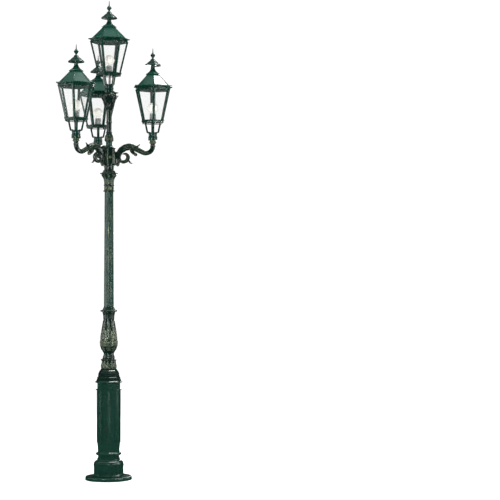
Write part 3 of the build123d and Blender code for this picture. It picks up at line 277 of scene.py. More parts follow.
def green_enamel(name, gold_from=None, roughness=0.22, grain=1.0, shade_hollows=False, tones=(GREEN_DEEP, GREEN_FRESH)):
    """Dark green paint. gold_from makes a mask for the gold, and a further flag adds painted shade: a darker green
    wherever that mask is low.
    """
    material, shader, add = node_material(name)
    links = material.node_tree.links
    where = add("ShaderNodeTexCoord").outputs["Object"]
    cloud = add("ShaderNodeTexNoise", {"Vector": where, "Scale": 14.0, "Detail": 5.0, "Roughness": 0.6})
    colour = mixed(add, cloud.outputs["Fac"], *tones)
    sand = add("ShaderNodeTexNoise", {"Vector": where, "Scale": 520.0, "Detail": 3.0, "Roughness": 0.55})
    peel = add("ShaderNodeTexNoise", {"Vector": where, "Scale": 120.0, "Detail": 2.0})
    rough = add("ShaderNodeMapRange", {"Value": cloud.outputs["Fac"], "To Min": roughness - 0.05,
                                       "To Max": roughness + 0.05}).outputs[0]
    if gold_from is not None:
        brush = add("ShaderNodeTexNoise", {"Vector": where, "Scale": 95.0, "Detail": 6.0, "Roughness": 0.7})
        worn = add("ShaderNodeMapRange", {"Value": brush.outputs["Fac"], "From Min": 0.45, "From Max": 0.62})
        raised = gold_from(add, where)
        mask = add("ShaderNodeMath", {0: raised, 1: worn.outputs[0]}, operation="MULTIPLY")
        # painted shade: a darker green wherever the gold mask is low, in the hollows between raised parts
        if shade_hollows:
            hollow_shade = add("ShaderNodeMapRange", {"Value": raised, "From Min": 0.02, "From Max": 0.30})
            colour = mixed(add, hollow_shade.outputs[0], GREEN_PAINTED_SHADE, colour)
        tone = mixed(add, brush.outputs["Fac"], GOLD_DULL, GOLD_WORN)
        colour = mixed(add, mask.outputs[0], colour, tone)
        metal = add("ShaderNodeMath", {0: mask.outputs[0], 1: GOLD_METAL}, operation="MULTIPLY")
        links.new(metal.outputs[0], shader.inputs["Metallic"])
        dull = add("ShaderNodeMath", {0: mask.outputs[0], 1: GOLD_ROUGHER, 2: rough}, operation="MULTIPLY_ADD")
        rough = dull.outputs[0]
    links.new(colour, shader.inputs["Base Color"])
    links.new(rough, shader.inputs["Roughness"])
    height = add("ShaderNodeMath", {0: peel.outputs["Fac"], 1: 0.6, 2: sand.outputs["Fac"]}, operation="MULTIPLY_ADD")
    bump = add("ShaderNodeBump", {"Height": height.outputs[0], "Strength": 0.22 * grain, "Distance": 0.0006})
    links.new(bump.outputs["Normal"], shader.inputs["Normal"])
    set_sockets(shader, {"Specular IOR Level": 0.5, "Coat Weight": 0.25, "Coat Roughness": 0.16})
    return material


def carved_gold(add, where):
    """The mask that a carved mesh brings along."""
    return add("ShaderNodeAttribute", attribute_name="gold").outputs["Fac"]


FLUTES = 12
STREAK_SHARE = 0.75


def fluted_gold(add, where):
    """Gold dragged up and down the ridges between the flutes, in broken streaks."""
    split = add("ShaderNodeSeparateXYZ", {0: where})
    angle = add("ShaderNodeMath", {0: split.outputs["Y"], 1: split.outputs["X"]}, operation="ARCTAN2")
    wave = add("ShaderNodeMath", {0: angle.outputs[0], 1: float(FLUTES)}, operation="MULTIPLY")
    ridge = add("ShaderNodeMath", {0: wave.outputs[0]}, operation="COSINE")
    edge = add("ShaderNodeMapRange", {"Value": ridge.outputs[0], "From Min": 0.15, "From Max": -0.75})
    drawn = add("ShaderNodeMapping", {"Vector": where, "Scale": (55.0, 55.0, 5.0)})
    streak = add("ShaderNodeTexNoise", {"Vector": drawn.outputs[0], "Scale": 1.0, "Detail": 4.0})
    broken = add("ShaderNodeMapRange", {"Value": streak.outputs["Fac"], "From Min": 0.52, "From Max": 0.66,
                                        "To Max": STREAK_SHARE})
    return add("ShaderNodeMath", {0: edge.outputs[0], 1: broken.outputs[0]}, operation="MULTIPLY").outputs[0]


def full_gold(add, where):
    """Gold almost everywhere, with green only where the carving says hollow."""
    mask = carved_gold(add, where)
    return add("ShaderNodeMapRange", {"Value": mask, "From Min": 0.0, "From Max": 0.5, "To Min": 0.35}).outputs[0]


BEAD_GOLD_FROM = 0.0515


def beaded_gold(add, where):
    """Gold on what stands out past a radius: the beads on the hub's corners."""
    split = add("ShaderNodeSeparateXYZ", {0: where})
    flat = add("ShaderNodeCombineXYZ", {"X": split.outputs["X"], "Y": split.outputs["Y"]})
    away = add("ShaderNodeVectorMath", {0: flat.outputs[0]}, operation="LENGTH")
    return add("ShaderNodeMapRange", {"Value": away.outputs["Value"], "From Min": BEAD_GOLD_FROM,
                                      "From Max": BEAD_GOLD_FROM + 0.0015, "To Max": 0.4}).outputs[0]


PAINT = green_enamel("green_enamel")
# a lighter green for the roofs: partly the sheet's own paint, partly painted light that falls on the roofs from above
SHEET_TONES_LIT_FROM_ABOVE = ((0.0075, 0.062, 0.040, 1), (0.012, 0.088, 0.060, 1))
SHEET_PAINT_LIT_FROM_ABOVE = green_enamel("green_on_sheet_lit_from_above", roughness=0.27, grain=0.5, tones=SHEET_TONES_LIT_FROM_ABOVE)
# these two take painted shade where their gold mask is low: the hollows of carvings, and the hub's faces between its
# beads
CARVED_PAINT = green_enamel("green_and_gold", carved_gold, shade_hollows=True)
CARVED_GOLD = green_enamel("gold_and_green", full_gold)
BEADED_PAINT = green_enamel("green_with_gold_beads", beaded_gold, shade_hollows=True)
FLUTED_PAINT = green_enamel("fluted_green_and_gold", fluted_gold)

# %% [markdown]
# ## Glass, lamps and fittings
#
# Clear panes are thin: light goes straight through, and only a faint sheen tells they are there. A Principled
# shader with a low alpha does that and keeps its meaning outside Blender. The globe lamp is opal glass:
# milky and smooth; it is unlit, and a painted glow makes it bright. The lamp holder is satin grey metal, and the lead
# rises in a pinkish-grey conduit.

# %% Glass and fittings
def clear_pane(name):
    """Thin clear glass with a faint, uneven sheen."""
    material, shader, add = node_material(name)
    set_sockets(shader, {"Base Color": (0.30, 0.36, 0.34, 1), "Alpha": 0.05, "IOR": 1.5})
    where = add("ShaderNodeTexCoord").outputs["Object"]
    wave = add("ShaderNodeTexNoise", {"Vector": where, "Scale": 6.0, "Detail": 1.0})
    smear = add("ShaderNodeMapRange", {"Value": wave.outputs["Fac"], "To Min": 0.02, "To Max": 0.09})
    material.node_tree.links.new(smear.outputs[0], shader.inputs["Roughness"])
    return material


def plain_finish(name, dark, pale, scale, roughness, metallic=0.0, bump=0.1, stretch=(1, 1, 1), glow=0.0):
    """Two near tones that drift into each other, with a fine bump. The glow argument makes the part give out light of
    its own, a painted glow, though it is no lamp.
    """
    material, shader, add = node_material(name)
    links = material.node_tree.links
    where = add("ShaderNodeTexCoord").outputs["Object"]
    drawn = add("ShaderNodeMapping", {"Vector": where, "Scale": stretch})
    drift = add("ShaderNodeTexNoise", {"Vector": drawn.outputs[0], "Scale": scale, "Detail": 4.0})
    links.new(mixed(add, drift.outputs["Fac"], (*dark, 1), (*pale, 1)), shader.inputs["Base Color"])
    rough = add("ShaderNodeMapRange", {"Value": drift.outputs["Fac"], "To Min": roughness * 0.8,
                                       "To Max": roughness * 1.2})
    links.new(rough.outputs[0], shader.inputs["Roughness"])
    raised = add("ShaderNodeBump", {"Height": drift.outputs["Fac"], "Strength": bump, "Distance": 0.0005})
    links.new(raised.outputs["Normal"], shader.inputs["Normal"])
    set_sockets(shader, {"Metallic": metallic})
    # painted glow: light given out by a part that is no lamp
    if glow:
        set_sockets(shader, {"Emission Color": (*pale, 1), "Emission Strength": glow})
    return material


PANE_GLASS = clear_pane("clear_glass")
# the unlit opal globe gets a painted glow that makes it bright
OPAL_GLASS = plain_finish("opal_globe", (0.86, 0.84, 0.76), (0.94, 0.92, 0.86), 9.0, 0.22, bump=0.02,
                          glow=0.26)
HOLDER_METAL = plain_finish("holder_satin", (0.36, 0.39, 0.385), (0.52, 0.55, 0.54), 60.0, 0.42, metallic=0.5,
                            bump=0.08)
CONDUIT_PLASTIC = plain_finish("conduit_plastic", (0.30, 0.255, 0.25), (0.42, 0.37, 0.36), 90.0, 0.5)
BOX_PLASTIC = plain_finish("box_plastic", (0.42, 0.43, 0.44), (0.50, 0.51, 0.52), 220.0, 0.55, bump=0.15)
ZINC = plain_finish("zinc_plate", (0.34, 0.35, 0.33), (0.52, 0.53, 0.50), 150.0, 0.38, metallic=0.9,
                    stretch=(1, 1, 6))
BLACK_STEEL = plain_finish("blackened_steel", (0.010, 0.014, 0.013), (0.024, 0.030, 0.028), 160.0, 0.40,
                           metallic=0.4)
BLACK_RUBBER = plain_finish("black_lead", (0.012, 0.012, 0.013), (0.022, 0.022, 0.023), 140.0, 0.45)
GOLD_PAINT = plain_finish("old_gold", (0.16, 0.155, 0.065), (0.40, 0.37, 0.17), 70.0, 0.42, metallic=0.55,
                          bump=0.2)
FINISHES = {"green_paint": PAINT, "gilded_paint": PAINT, "gilded_casting": GOLD_PAINT, "clear_glass": PANE_GLASS,
            "frosted_globe": OPAL_GLASS, "lamp_holder": HOLDER_METAL, "plated_fastener": ZINC,
            "terminal_box": BOX_PLASTIC}


LANTERNS = ("right", "left", "back", "top")


def dress_nodes():
    """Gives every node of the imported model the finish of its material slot."""
    for part in frame["record"]["subparts"]:
        node = NODES[part["node"]]
        node.data.materials.clear()
        node.data.materials.append(FINISHES[part["material_slot"]])
    NODES["fluted_shaft"].data.materials[0] = FLUTED_PAINT
    NODES["arm_hub"].data.materials[0] = BEADED_PAINT
    NODES["door_lock"].data.materials[0] = BLACK_STEEL
    # the roofs take the lighter green, which is partly painted light from above
    for name in LANTERNS:
        NODES[f"roof_{name}"].data.materials[0] = SHEET_PAINT_LIT_FROM_ABOVE
    print(len(NODES), "nodes dressed")


dress_nodes()

# %% [markdown]
# ## Soft edges
#
# A casting has no sharp edge: sand and paint round every arris to a millimetre or so, and that is where the
# light catches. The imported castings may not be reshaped, but a modifier may round them. Weld first joins
# the corners that the file keeps apart, and Bevel then rounds only the edges that turn sharply.

# %% Round the arrises of the straight-sided castings
ROUND_MM = {"foundation_flange": 1.5, "base_plinth": 2.0, "base_column": 1.2, "service_door": 1.0,
            "column_cornice": 1.6, "arm_hub": 1.2, "hub_cap": 1.0, "door_lock": 0.3, "terminal_box": 0.8}
for side in LANTERNS:
    ROUND_MM.update({f"gallery_{side}": 0.8, f"frame_{side}": 0.7, f"roof_{side}": 1.0, f"bracket_{side}": 1.0})
WELD_BELOW = 0.02 * MM
BEVEL_ANGLE = math.radians(24)


def round_arrises(node, radius_mm):
    """Rounds the sharp edges of a packed casting."""
    weld = node.modifiers.new("weld", "WELD")
    weld.merge_threshold = WELD_BELOW
    bevel = node.modifiers.new("rounded_arris", "BEVEL")
    bevel.width = radius_mm * MM
    bevel.segments = 2
    bevel.limit_method = "ANGLE"
    bevel.angle_limit = BEVEL_ANGLE


for title, radius in ROUND_MM.items():
    round_arrises(NODES[title], radius)

# %% [markdown]
# ## Shells: closed skins from stacked rings
#
# Most castings here can be told as a stack of rings: a turned vase, an arm, a leaf, a bead. A shell is the
# skin through such a stack, closed by a cap at each end, so the finished piece is watertight. Every point
# also carries how much gold it takes. Shells are joined into one mesh for each piece.

# %% Build shells and turn them into pieces
SMOOTH_BELOW = math.radians(38)


def ring_angles(columns):
    """The angles of even columns round a ring."""
    return np.arange(columns) * 2 * np.pi / columns


def level_ring(radii, level, angles):
    """One ring of points about the Z axis."""
    return np.stack([radii * np.cos(angles), radii * np.sin(angles), level * np.ones_like(angles)], -1)


def ring_shell(points, gold=0.0):
    """A closed skin through rings of points, an array of rows by columns by three: points, faces and gold."""
    rows, columns, _ = points.shape
    here = np.arange(rows * columns).reshape(rows, columns)
    after = np.roll(here, -1, axis=1)
    quads = np.stack([here[:-1], after[:-1], after[1:], here[1:]], axis=-1).reshape(-1, 4)
    faces = quads.tolist() + [here[0, ::-1].tolist(), here[-1].tolist()]
    return points.reshape(-1, 3), faces, np.broadcast_to(gold, (rows, columns)).reshape(-1)


def joined(shells):
    """Several shells as one."""
    points, faces, gold, first = [], [], [], 0
    for part_points, part_faces, part_gold in shells:
        points.append(part_points)
        gold.append(part_gold)
        faces += [[corner + first for corner in face] for face in part_faces]
        first += len(part_points)
    return np.concatenate(points), faces, np.concatenate(gold)


def moved(shell, turn=0.0, shift=(0, 0, 0)):
    """A shell turned about the Z axis, in degrees, and then shifted, in millimetres."""
    angle = math.radians(turn)
    cos, sin = math.cos(angle), math.sin(angle)
    turning = np.array([[cos, -sin, 0], [sin, cos, 0], [0, 0, 1]])
    return shell[0] @ turning.T + np.array(shift), shell[1], shell[2]


def piece(name, shells, finish, body, replaces=()):
    """Makes the object of one piece from shells in millimetres, and rides it on its body."""
    points, faces, gold = joined(shells)
    mesh = bpy.data.meshes.new(name)
    mesh.from_pydata((points * MM).tolist(), [], faces)
    mesh.attributes.new("gold", "FLOAT", "POINT").data.foreach_set("value", gold.astype(np.float32))
    mesh.shade_smooth()
    mesh.set_sharp_from_angle(angle=SMOOTH_BELOW)
    mesh.materials.append(finish)
    made = bpy.data.objects.new(name, mesh)
    bpy.context.scene.collection.objects.link(made)
    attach(made, body)
    if replaces:
        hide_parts(*replaces)
    return made


def smooth_path(stations, count):
    """Even steps along a smooth curve through stations of any width."""
    stations = np.array(stations, float)
    ends = np.vstack([2 * stations[0] - stations[1], stations, 2 * stations[-1] - stations[-2]])
    spans = len(stations) - 1
    along = np.linspace(0, spans, count)
    span = np.minimum(along.astype(int), spans - 1)
    t = (along - span)[:, None]
    a, b, c, d = (ends[span + k] for k in range(4))
    return 0.5 * (2 * b + (c - a) * t + (2 * a - 5 * b + 4 * c - d) * t ** 2 + (3 * b - a - 3 * c + d) * t ** 3)


# %% [markdown]
# ## Acanthus leaves as relief
#
# The vase, cone and bells are covered with rows of acanthus leaves in low relief. Modelling each leaf by hand
# would take days. A leaf can instead be a height over its own little map: u runs across it and v from root
# to tip. A pointed outline with notched lobes, veins that sweep up from the midrib, and a swelling towards
# the tip are enough to read as acanthus at arm's length.

# %% The height of one leaf, and of rows of them round a casting
LOBE_NOTCH = 0.24
RIB_WIDTH = 0.10


def smooth_step(low, high, value):
    """0 below low, 1 above high, and a smooth rise between."""
    t = np.clip((value - low) / (high - low), 0, 1)
    return t * t * (3 - 2 * t)


def leaf_outline(v, lobes):
    """Half the width of a leaf from root to tip, as a share of its full half width."""
    body = np.sqrt(np.clip(1 - v ** 2.6, 0, 1)) * (0.78 + 0.22 * np.sin(np.pi * np.clip(v * 1.25, 0, 1)))
    return body * (1 - LOBE_NOTCH * (1 - (lobes * v) % 1) ** 1.6 * (v > 0.02))


def leaf_height(u, v, lobes=5):
    """Height and gold of a leaf over its own map, both from 0 to 1."""
    inside = (v >= 0) & (v <= 1)
    v = np.clip(v, 0, 1)
    width = np.maximum(leaf_outline(v, lobes), 0.02)
    edge = smooth_step(0, 0.16, width - np.abs(u))
    rib = np.exp(-(u / RIB_WIDTH) ** 2)
    vein = 0.5 + 0.5 * np.cos(2 * np.pi * lobes * (v - 0.42 * np.abs(u) + 0.05))
    crown = 1 - 0.35 * np.clip(np.abs(u) / width, 0, 1) ** 2
    swell = 0.72 + 0.5 * smooth_step(0.55, 0.95, v)
    height = edge * (0.52 * crown * swell + 0.26 * vein * (1 - rib) + 0.34 * rib) * inside
    gold = edge * np.clip(0.85 * rib + 0.9 * vein ** 3 + 0.35 * smooth_step(0.7, 1, v), 0, 1) * inside
    return height, gold


def across_repeat(angle, count, phase):
    """Where an angle lies across its own leaf of a row, from -1 to 1."""
    return (((angle * count / (2 * np.pi) + phase) % 1) - 0.5) * 2


def leaf_row(count, foot, tip, depth, lobes=5, phase=0.0, spread=1.0, gilt=1.0):
    """A row of leaves round a casting, as a function of the angle and the height above its foot."""
    def relief(angle, level):
        u = across_repeat(angle, count, phase) / spread
        height, gold = leaf_height(u, (level - foot) / (tip - foot), lobes)
        return height * depth, gold * gilt
    return relief


def tongue_row(count, foot, tip, depth, gilt):
    """A row of plain rounded tongues, the gadroons of a turned vase."""
    def relief(angle, level):
        u = across_repeat(angle, count, 0.0)
        v = (level - foot) / (tip - foot)
        inside = smooth_step(0, 0.12, v) * smooth_step(0, 0.12, 1 - v)
        height = np.sqrt(np.clip(1 - u ** 2, 0, 1)) * inside
        return height * depth, gilt * inside * np.exp(-(u / 0.35) ** 2)
    return relief


def band_gold(low, high, gilt):
    """Gold dragged round a moulding between two levels, with no relief of its own."""
    def relief(angle, level):
        inside = ((level >= low) & (level <= high)) * gilt
        return 0.0 * angle * level, inside * np.ones_like(angle)
    return relief


CARVED_STEP = 2.0
END_INSET = 0.05


def carved(node, reliefs, columns):
    """The outer skin of a packed casting, felt by rays towards its axis, with relief added to it.

    Levels are millimetres above the casting's foot, and the reliefs use the same.
    """
    mesh = NODES[node].data
    tree = BVHTree.FromPolygons([v.co for v in mesh.vertices], [p.vertices for p in mesh.polygons])
    floor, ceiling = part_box(node)
    foot = floor.z / MM
    high = ceiling.z / MM - foot
    levels = np.linspace(END_INSET, high - END_INSET, round(high / CARVED_STEP))
    angles = ring_angles(columns)
    reach = 1.5 * max(abs(c) for c in (*floor.xy, *ceiling.xy))
    radii = np.zeros((len(levels), columns))
    for row, level in enumerate(levels):
        z = (foot + level) * MM
        for column, angle in enumerate(angles):
            out = Vector((math.cos(angle), math.sin(angle), 0))
            hit = tree.ray_cast(out * reach + Vector((0, 0, z)), -out)[0]
            radii[row, column] = 0.0 if hit is None else math.hypot(hit.x, hit.y) / MM
    height, gold = np.zeros_like(radii), np.zeros_like(radii)
    for relief in reliefs:
        raised, gilt = relief(angles[None, :], levels[:, None])
        gold = np.where(raised > height, gilt, np.maximum(gold, gilt * (raised >= height)))
        height = np.maximum(height, raised)
    radii += height
    heights = np.repeat((foot + levels)[:, None], columns, 1)
    return ring_shell(np.stack([radii * np.cos(angles), radii * np.sin(angles), heights], -1), gold)


# %% [markdown]
# ## The carved castings of the post
#
# From the ground up: the round part of the cone wears a low crown of leaves, the vase has a leaf cup, long
# leaves up its belly and plain tongues on its neck, the capital has a bell of leaves, and the stem starts
# from a leaf bulb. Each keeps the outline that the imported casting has, and only gains relief.

# %% Carve the cone, the vase, the capital and the stem
CARVINGS = {
    "cone_carving": ("leaf_cone", 192, [
        leaf_row(12, 112, 178, 4.0, lobes=4, spread=1.05, gilt=0.7),
        leaf_row(12, 110, 158, 2.6, lobes=3, phase=0.5, spread=0.9, gilt=0.5),
        band_gold(184, 192, 0.12)]),
    "vase_carving": ("baluster", 192, [
        leaf_row(8, 2, 44, 2.6, lobes=3, spread=0.95, gilt=0.15),
        leaf_row(8, 70, 160, 4.6, lobes=4, gilt=0.35),
        leaf_row(8, 110, 252, 4.4, lobes=6, phase=0.5, spread=0.92),
        leaf_row(8, 175, 338, 3.2, lobes=6, spread=0.9, gilt=0.85),
        tongue_row(16, 352, 404, 1.4, 0.1),
        band_gold(421, 434, 0.12)]),
    "capital_carving": ("capital", 192, [
        leaf_row(8, 68, 150, 4.5, gilt=0.45),
        leaf_row(8, 66, 118, 3.2, lobes=3, phase=0.5, spread=0.85, gilt=0.35),
        tongue_row(24, 2, 14, 0.8, 0.3),
        band_gold(162, 172, 0.2)]),
    "stem_carving": ("top_stem", 144, [
        leaf_row(6, 2, 62, 4.0, lobes=4, gilt=0.5),
        leaf_row(6, 20, 78, 2.6, lobes=4, phase=0.5, spread=0.85, gilt=0.5),
        leaf_row(6, 184, 286, 1.6, lobes=6, spread=0.9, gilt=0.4)]),
}
for title, (node, columns, reliefs) in CARVINGS.items():
    piece(title, [carved(node, reliefs, columns)], CARVED_PAINT, "post", [node])
print("carved castings made")

# %% [markdown]
# ## Scrolled arms
#
# An arm is one casting: a bar that rises from the hub, arches over, runs down and sweeps up under its lantern.
# Under the arch a band curls into a scroll, and leaves grow where bar and band meet. The bar could be a
# bevelled curve, but its section isn't round: raised lines run along both sides and catch the light. So its
# rings are set along arcs, and each ring is a circle with small ridges. All is made once, lying along +X
# from the axis, and set round the hub.

# %% Driving sizes of an arm, in millimetres from the axis and above the hub's foot
HUB_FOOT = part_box("arm_hub")[0].z / MM
ARM_ANGLES = {"right": 7.0, "left": 247.0, "back": 127.0}
ARM_REACH = 405.0
ARCH = {"centre": (184.0, 54.0), "radius": 98.5, "start": 186.0, "bar": 24.5}
SWEEP = {"centre": (343.0, 155.0), "radius": 62.0, "bar": 20.5}
RIDGE_ANGLES = (52, 90, 128, 232, 270, 308)
RIDGE_HEIGHT = 1.5
RIDGE_WIDTH = math.radians(6.5)
BAR_COLUMNS = 72


def arc_points(centre, radius, start, end, count):
    """Points on an arc in the plane of the arm, by angles in degrees."""
    angles = np.radians(np.linspace(start, end, count))
    return np.stack([centre[0] + radius * np.cos(angles), centre[1] + radius * np.sin(angles)], -1)


def path_frames(path):
    """Unit tangents along a path in the plane of the arm, and the normals to their left."""
    along = np.gradient(path, axis=0)
    along /= np.linalg.norm(along, axis=1)[:, None]
    return along, np.stack([-along[:, 1], along[:, 0]], -1)


def swept(path, half, section, gold=0.0, columns=BAR_COLUMNS):
    """A bar along a path: half is its radius at each point, and section the shape of a ring by angle."""
    _, left = path_frames(path)
    angles = ring_angles(columns)
    shape = section(angles)
    out = half[:, None] * np.cos(angles) * shape
    side = half[:, None] * np.sin(angles) * shape
    points = np.stack([path[:, :1] + left[:, :1] * out, side, path[:, 1:] + left[:, 1:] * out], -1)
    return ring_shell(points, gold)


def ridged(angles):
    """A circle with fine ridges along it."""
    turned = np.degrees(angles)[:, None] - np.array(RIDGE_ANGLES)[None, :]
    near = np.radians((turned + 180) % 360 - 180)
    return 1 + RIDGE_HEIGHT / ARCH["bar"] * np.exp(-(near / RIDGE_WIDTH) ** 2).sum(axis=1)


def ridge_tops():
    """1 on top of the ridges and 0 between them, by angle."""
    return smooth_step(1.02, 1.055, ridged(ring_angles(BAR_COLUMNS)))[None, :]


def arm_bar():
    """The bar from the hub to its upright end."""
    run = np.subtract(SWEEP["centre"], ARCH["centre"])
    apart = math.acos((ARCH["radius"] + SWEEP["radius"]) / math.hypot(*run))
    joint = math.degrees(math.atan2(run[1], run[0]) + apart)
    arch = arc_points(ARCH["centre"], ARCH["radius"], ARCH["start"], joint, 60)
    sweep = arc_points(SWEEP["centre"], SWEEP["radius"], joint + 180, 360, 48)
    straight = np.linspace(arch[-1], sweep[0], 14)[1:-1]
    path = np.concatenate([arch, straight, sweep])
    along = np.linspace(0, 1, len(path))
    thin = smooth_step(0.45, 0.70, along)
    half = ARCH["bar"] + (SWEEP["bar"] - ARCH["bar"]) * thin
    where = (smooth_step(0.25, 0.30, along) * (1 - smooth_step(0.72, 0.80, along)))[:, None]
    return swept(path, half, ridged, 0.5 * ridge_tops() * where)


BAR_SHELL = arm_bar()
print("the bar has", len(BAR_SHELL[1]), "faces")

# %% [markdown]
# ## Free leaves
#
# A relief leaf lies on its ground. The leaves on the arms stand free of it at their tips, so they need a back.
# Each ring of a free leaf goes over the top of the leaf and back under it. Its spine is a path in the plane
# of the arm, and a leaf may wrap round the bar like a sleeve.

# %% One free leaf
LEAF_COLUMNS = 41


def gilt_between(low, high, rows):
    """Gold between two shares of a leaf's length, fading at both ends."""
    v = np.linspace(0, 1, rows)[:, None]
    return smooth_step(low - 0.08, low + 0.04, v) * (1 - smooth_step(high - 0.04, high + 0.08, v))


def free_leaf(spine, half_widths, depth, thick=3.0, lobes=5, wrap=None, gilt=1.0, rows=90, curl=0.0):
    """A leaf along a spine of (x, z) points. wrap is the radius that it bends round, and curl droops its edges."""
    path = smooth_path(spine, rows)
    v = np.linspace(0, 1, rows)
    width = np.interp(v, np.linspace(0, 1, len(half_widths)), half_widths)
    width = np.maximum(width * (1 - LOBE_NOTCH * 1.2 * (1 - (lobes * v) % 1) ** 1.5), 0.6)
    u = np.linspace(-1, 1, LEAF_COLUMNS)
    rib = np.exp(-(u / RIB_WIDTH) ** 2)[None, :]
    vein = 0.5 + 0.5 * np.cos(2 * np.pi * lobes * (v[:, None] - 0.30 * np.abs(u)[None, :] + 0.04))
    crown = 1 - 0.5 * u[None, :] ** 2
    share = np.clip(width / max(half_widths), 0.12, 1)[:, None]
    height = depth * share * (0.5 * crown + 0.32 * vein * (1 - rib) + 0.38 * rib) - curl * share * u[None, :] ** 2
    gold = np.clip(0.8 * rib + 0.95 * vein ** 3, 0, 1) * gilt * np.ones_like(height)
    top = lay_across(path, u, width, height, wrap)
    back = lay_across(path, u[::-1], width * 0.97, height[:, ::-1] * 0.5 - thick * share, wrap)
    return ring_shell(np.concatenate([top, back], axis=1), np.concatenate([gold, gold * 0], axis=1))


def lay_across(path, u, width, height, wrap):
    """Points across a leaf at each step of its spine, flat or bent round a bar."""
    _, left = path_frames(path)
    reach = u[None, :] * width[:, None]
    if wrap is None:
        side, out = reach, height
    else:
        bend = reach / wrap
        side, out = (wrap + height) * np.sin(bend), (wrap + height) * np.cos(bend) - wrap
    return np.stack([path[:, :1] + left[:, :1] * out, side, path[:, 1:] + left[:, 1:] * out], -1)


# %% [markdown]
# ## Scroll, leaves and root of an arm
#
# The scroll's band swells towards the spur and thins to a curled tip. A long acanthus sleeve hugs the arch and
# flicks up at its end, a second leaf hangs under the bar and ends in a small volute, and a spur springs
# from the scroll's foot. At the hub, a leafed block stands on a bolted plate with a curl at its foot.

# %% Build the arm once
SCROLL_CENTRE = (134.0, 58.0)
SCROLL_HOLE = 25.0
# angle round the hole, half width
SCROLL_BAND = [(-168, 12.0), (-155, 14.0), (-122, 14.5), (-90, 15.5), (-45, 17.0), (0, 17.5), (42, 14.0),
               (75, 8.5), (96, 5.0), (108, 2.0)]
PLATE = {"face": 46.0, "thick": 14.0, "half": 19.0, "foot": -14.0, "top": 115.0}
# centre, radius and half width of the volutes at the foot, under the bar and in the scroll's root
KNOBS = [((80.0, -10.0), 12.0, 15.0), ((246.0, 82.0), 14.0, 13.0), ((88.0, 54.0), 10.0, 17.0)]
KNOB_TURNS = 1.6
KNOB_COLUMNS, KNOB_ROWS = 64, 40


def scroll_band():
    """The curled band round the hole under the arch."""
    stations = []
    for angle, half in SCROLL_BAND:
        turn, away = math.radians(angle), SCROLL_HOLE + half
        x, z = SCROLL_CENTRE[0] + away * math.cos(turn), SCROLL_CENTRE[1] + away * math.sin(turn)
        stations.append((x, z, half))
    line = smooth_path(stations, 90)
    return swept(line[:, :2], line[:, 2], ridged, 0.45 * ridge_tops())


def knob(centre, radius, half_width):
    """A small volute: a round boss across the arm whose faces carry a spiral ridge."""
    rows = []
    angles = ring_angles(KNOB_COLUMNS)
    for depth in np.linspace(-1, 1, KNOB_ROWS):
        rim = np.sqrt(max(0.0, 1 - max(0.0, (abs(depth) - 0.55) / 0.45) ** 2 * 0.96))
        spiral = 1 + 0.10 * np.cos(angles - 2 * np.pi * KNOB_TURNS * abs(depth)) * (abs(depth) > 0.5)
        radii = radius * rim * spiral
        rows.append(np.stack([centre[0] + radii * np.cos(angles), np.full(KNOB_COLUMNS, half_width * depth),
                              centre[1] + radii * np.sin(angles)], -1))
    return ring_shell(np.array(rows)[:, ::-1], 0.25)


BLOCK_COLUMNS = 48
# which end, how far the ring steps in, how far it stays from the end
END_STEPS = [(-1, 2.2, 0.0), (-1, 0.8, 0.6), (-1, 0, 2.0), (1, 0, 2.0), (1, 0.8, 0.6), (1, 2.2, 0.0)]


def rounded_bar(low, high, corner):
    """A block with rounded upright edges and softened ends, between two corners."""
    centre = (np.array(low) + np.array(high)) / 2
    half = (np.array(high) - np.array(low)) / 2
    angles = (np.arange(BLOCK_COLUMNS) + 0.5) * 2 * np.pi / BLOCK_COLUMNS
    cos, sin = np.cos(angles), np.sin(angles)
    rows = []
    for end, inset, soft in END_STEPS:
        across = np.sign(cos) * (half[0] - corner - inset) + corner * cos
        deep = np.sign(sin) * (half[1] - corner - inset) + corner * sin
        level = np.full(BLOCK_COLUMNS, centre[2] + end * (half[2] - soft))
        rows.append(np.stack([centre[0] + across, centre[1] + deep, level], -1))
    return ring_shell(np.array(rows))


def turned_bead(outline, centre=(0, 0), columns=64, gold=0.0):
    """A turned shape from (radius, height) points, about an upright axis."""
    outline = np.array(outline, float)
    angles = ring_angles(columns)
    points = np.stack([centre[0] + outline[:, :1] * np.cos(angles), centre[1] + outline[:, :1] * np.sin(angles),
                       np.repeat(outline[:, 1:2], columns, 1)], -1)
    return ring_shell(points, gold)


def round_over(radius, low, high, bulge, steps=9):
    """Points of a rounded bead between two levels."""
    turn = np.linspace(-np.pi / 2, np.pi / 2, steps)
    middle, half = (low + high) / 2, (high - low) / 2
    return [(radius + bulge * math.cos(t), middle + half * math.sin(t)) for t in turn]


def arm_end():
    """Beads and neck under the lantern, up to the collar that its socket stands on."""
    foot = SWEEP["centre"][1]
    outline = [(19.0, foot - 6)] + round_over(20.5, foot - 5, foot + 6, 4.6)
    outline += [(20.4, foot + 9), (20.0, foot + 14), (20.4, foot + 19), (24.0, foot + 22)]
    outline += round_over(25.0, foot + 23, foot + 40, 6.0, 13)
    outline += [(26.0, foot + 41.5), (28.0, foot + 43), (28.0, foot + 50.9), (24.0, foot + 50.95), (24.0, foot + 94.9)]
    gold = np.array([0.3 if 24.5 < radius < 32 else 0.0 for radius, _ in outline])[:, None]
    return turned_bead(outline, (ARM_REACH, 0), gold=gold)


def tapered_bar(stations):
    """A round bar through (x, z, radius) stations, for the stems under leaf tips."""
    line = smooth_path(stations, 30)
    return swept(line[:, :2], line[:, 2], np.ones_like, columns=24)


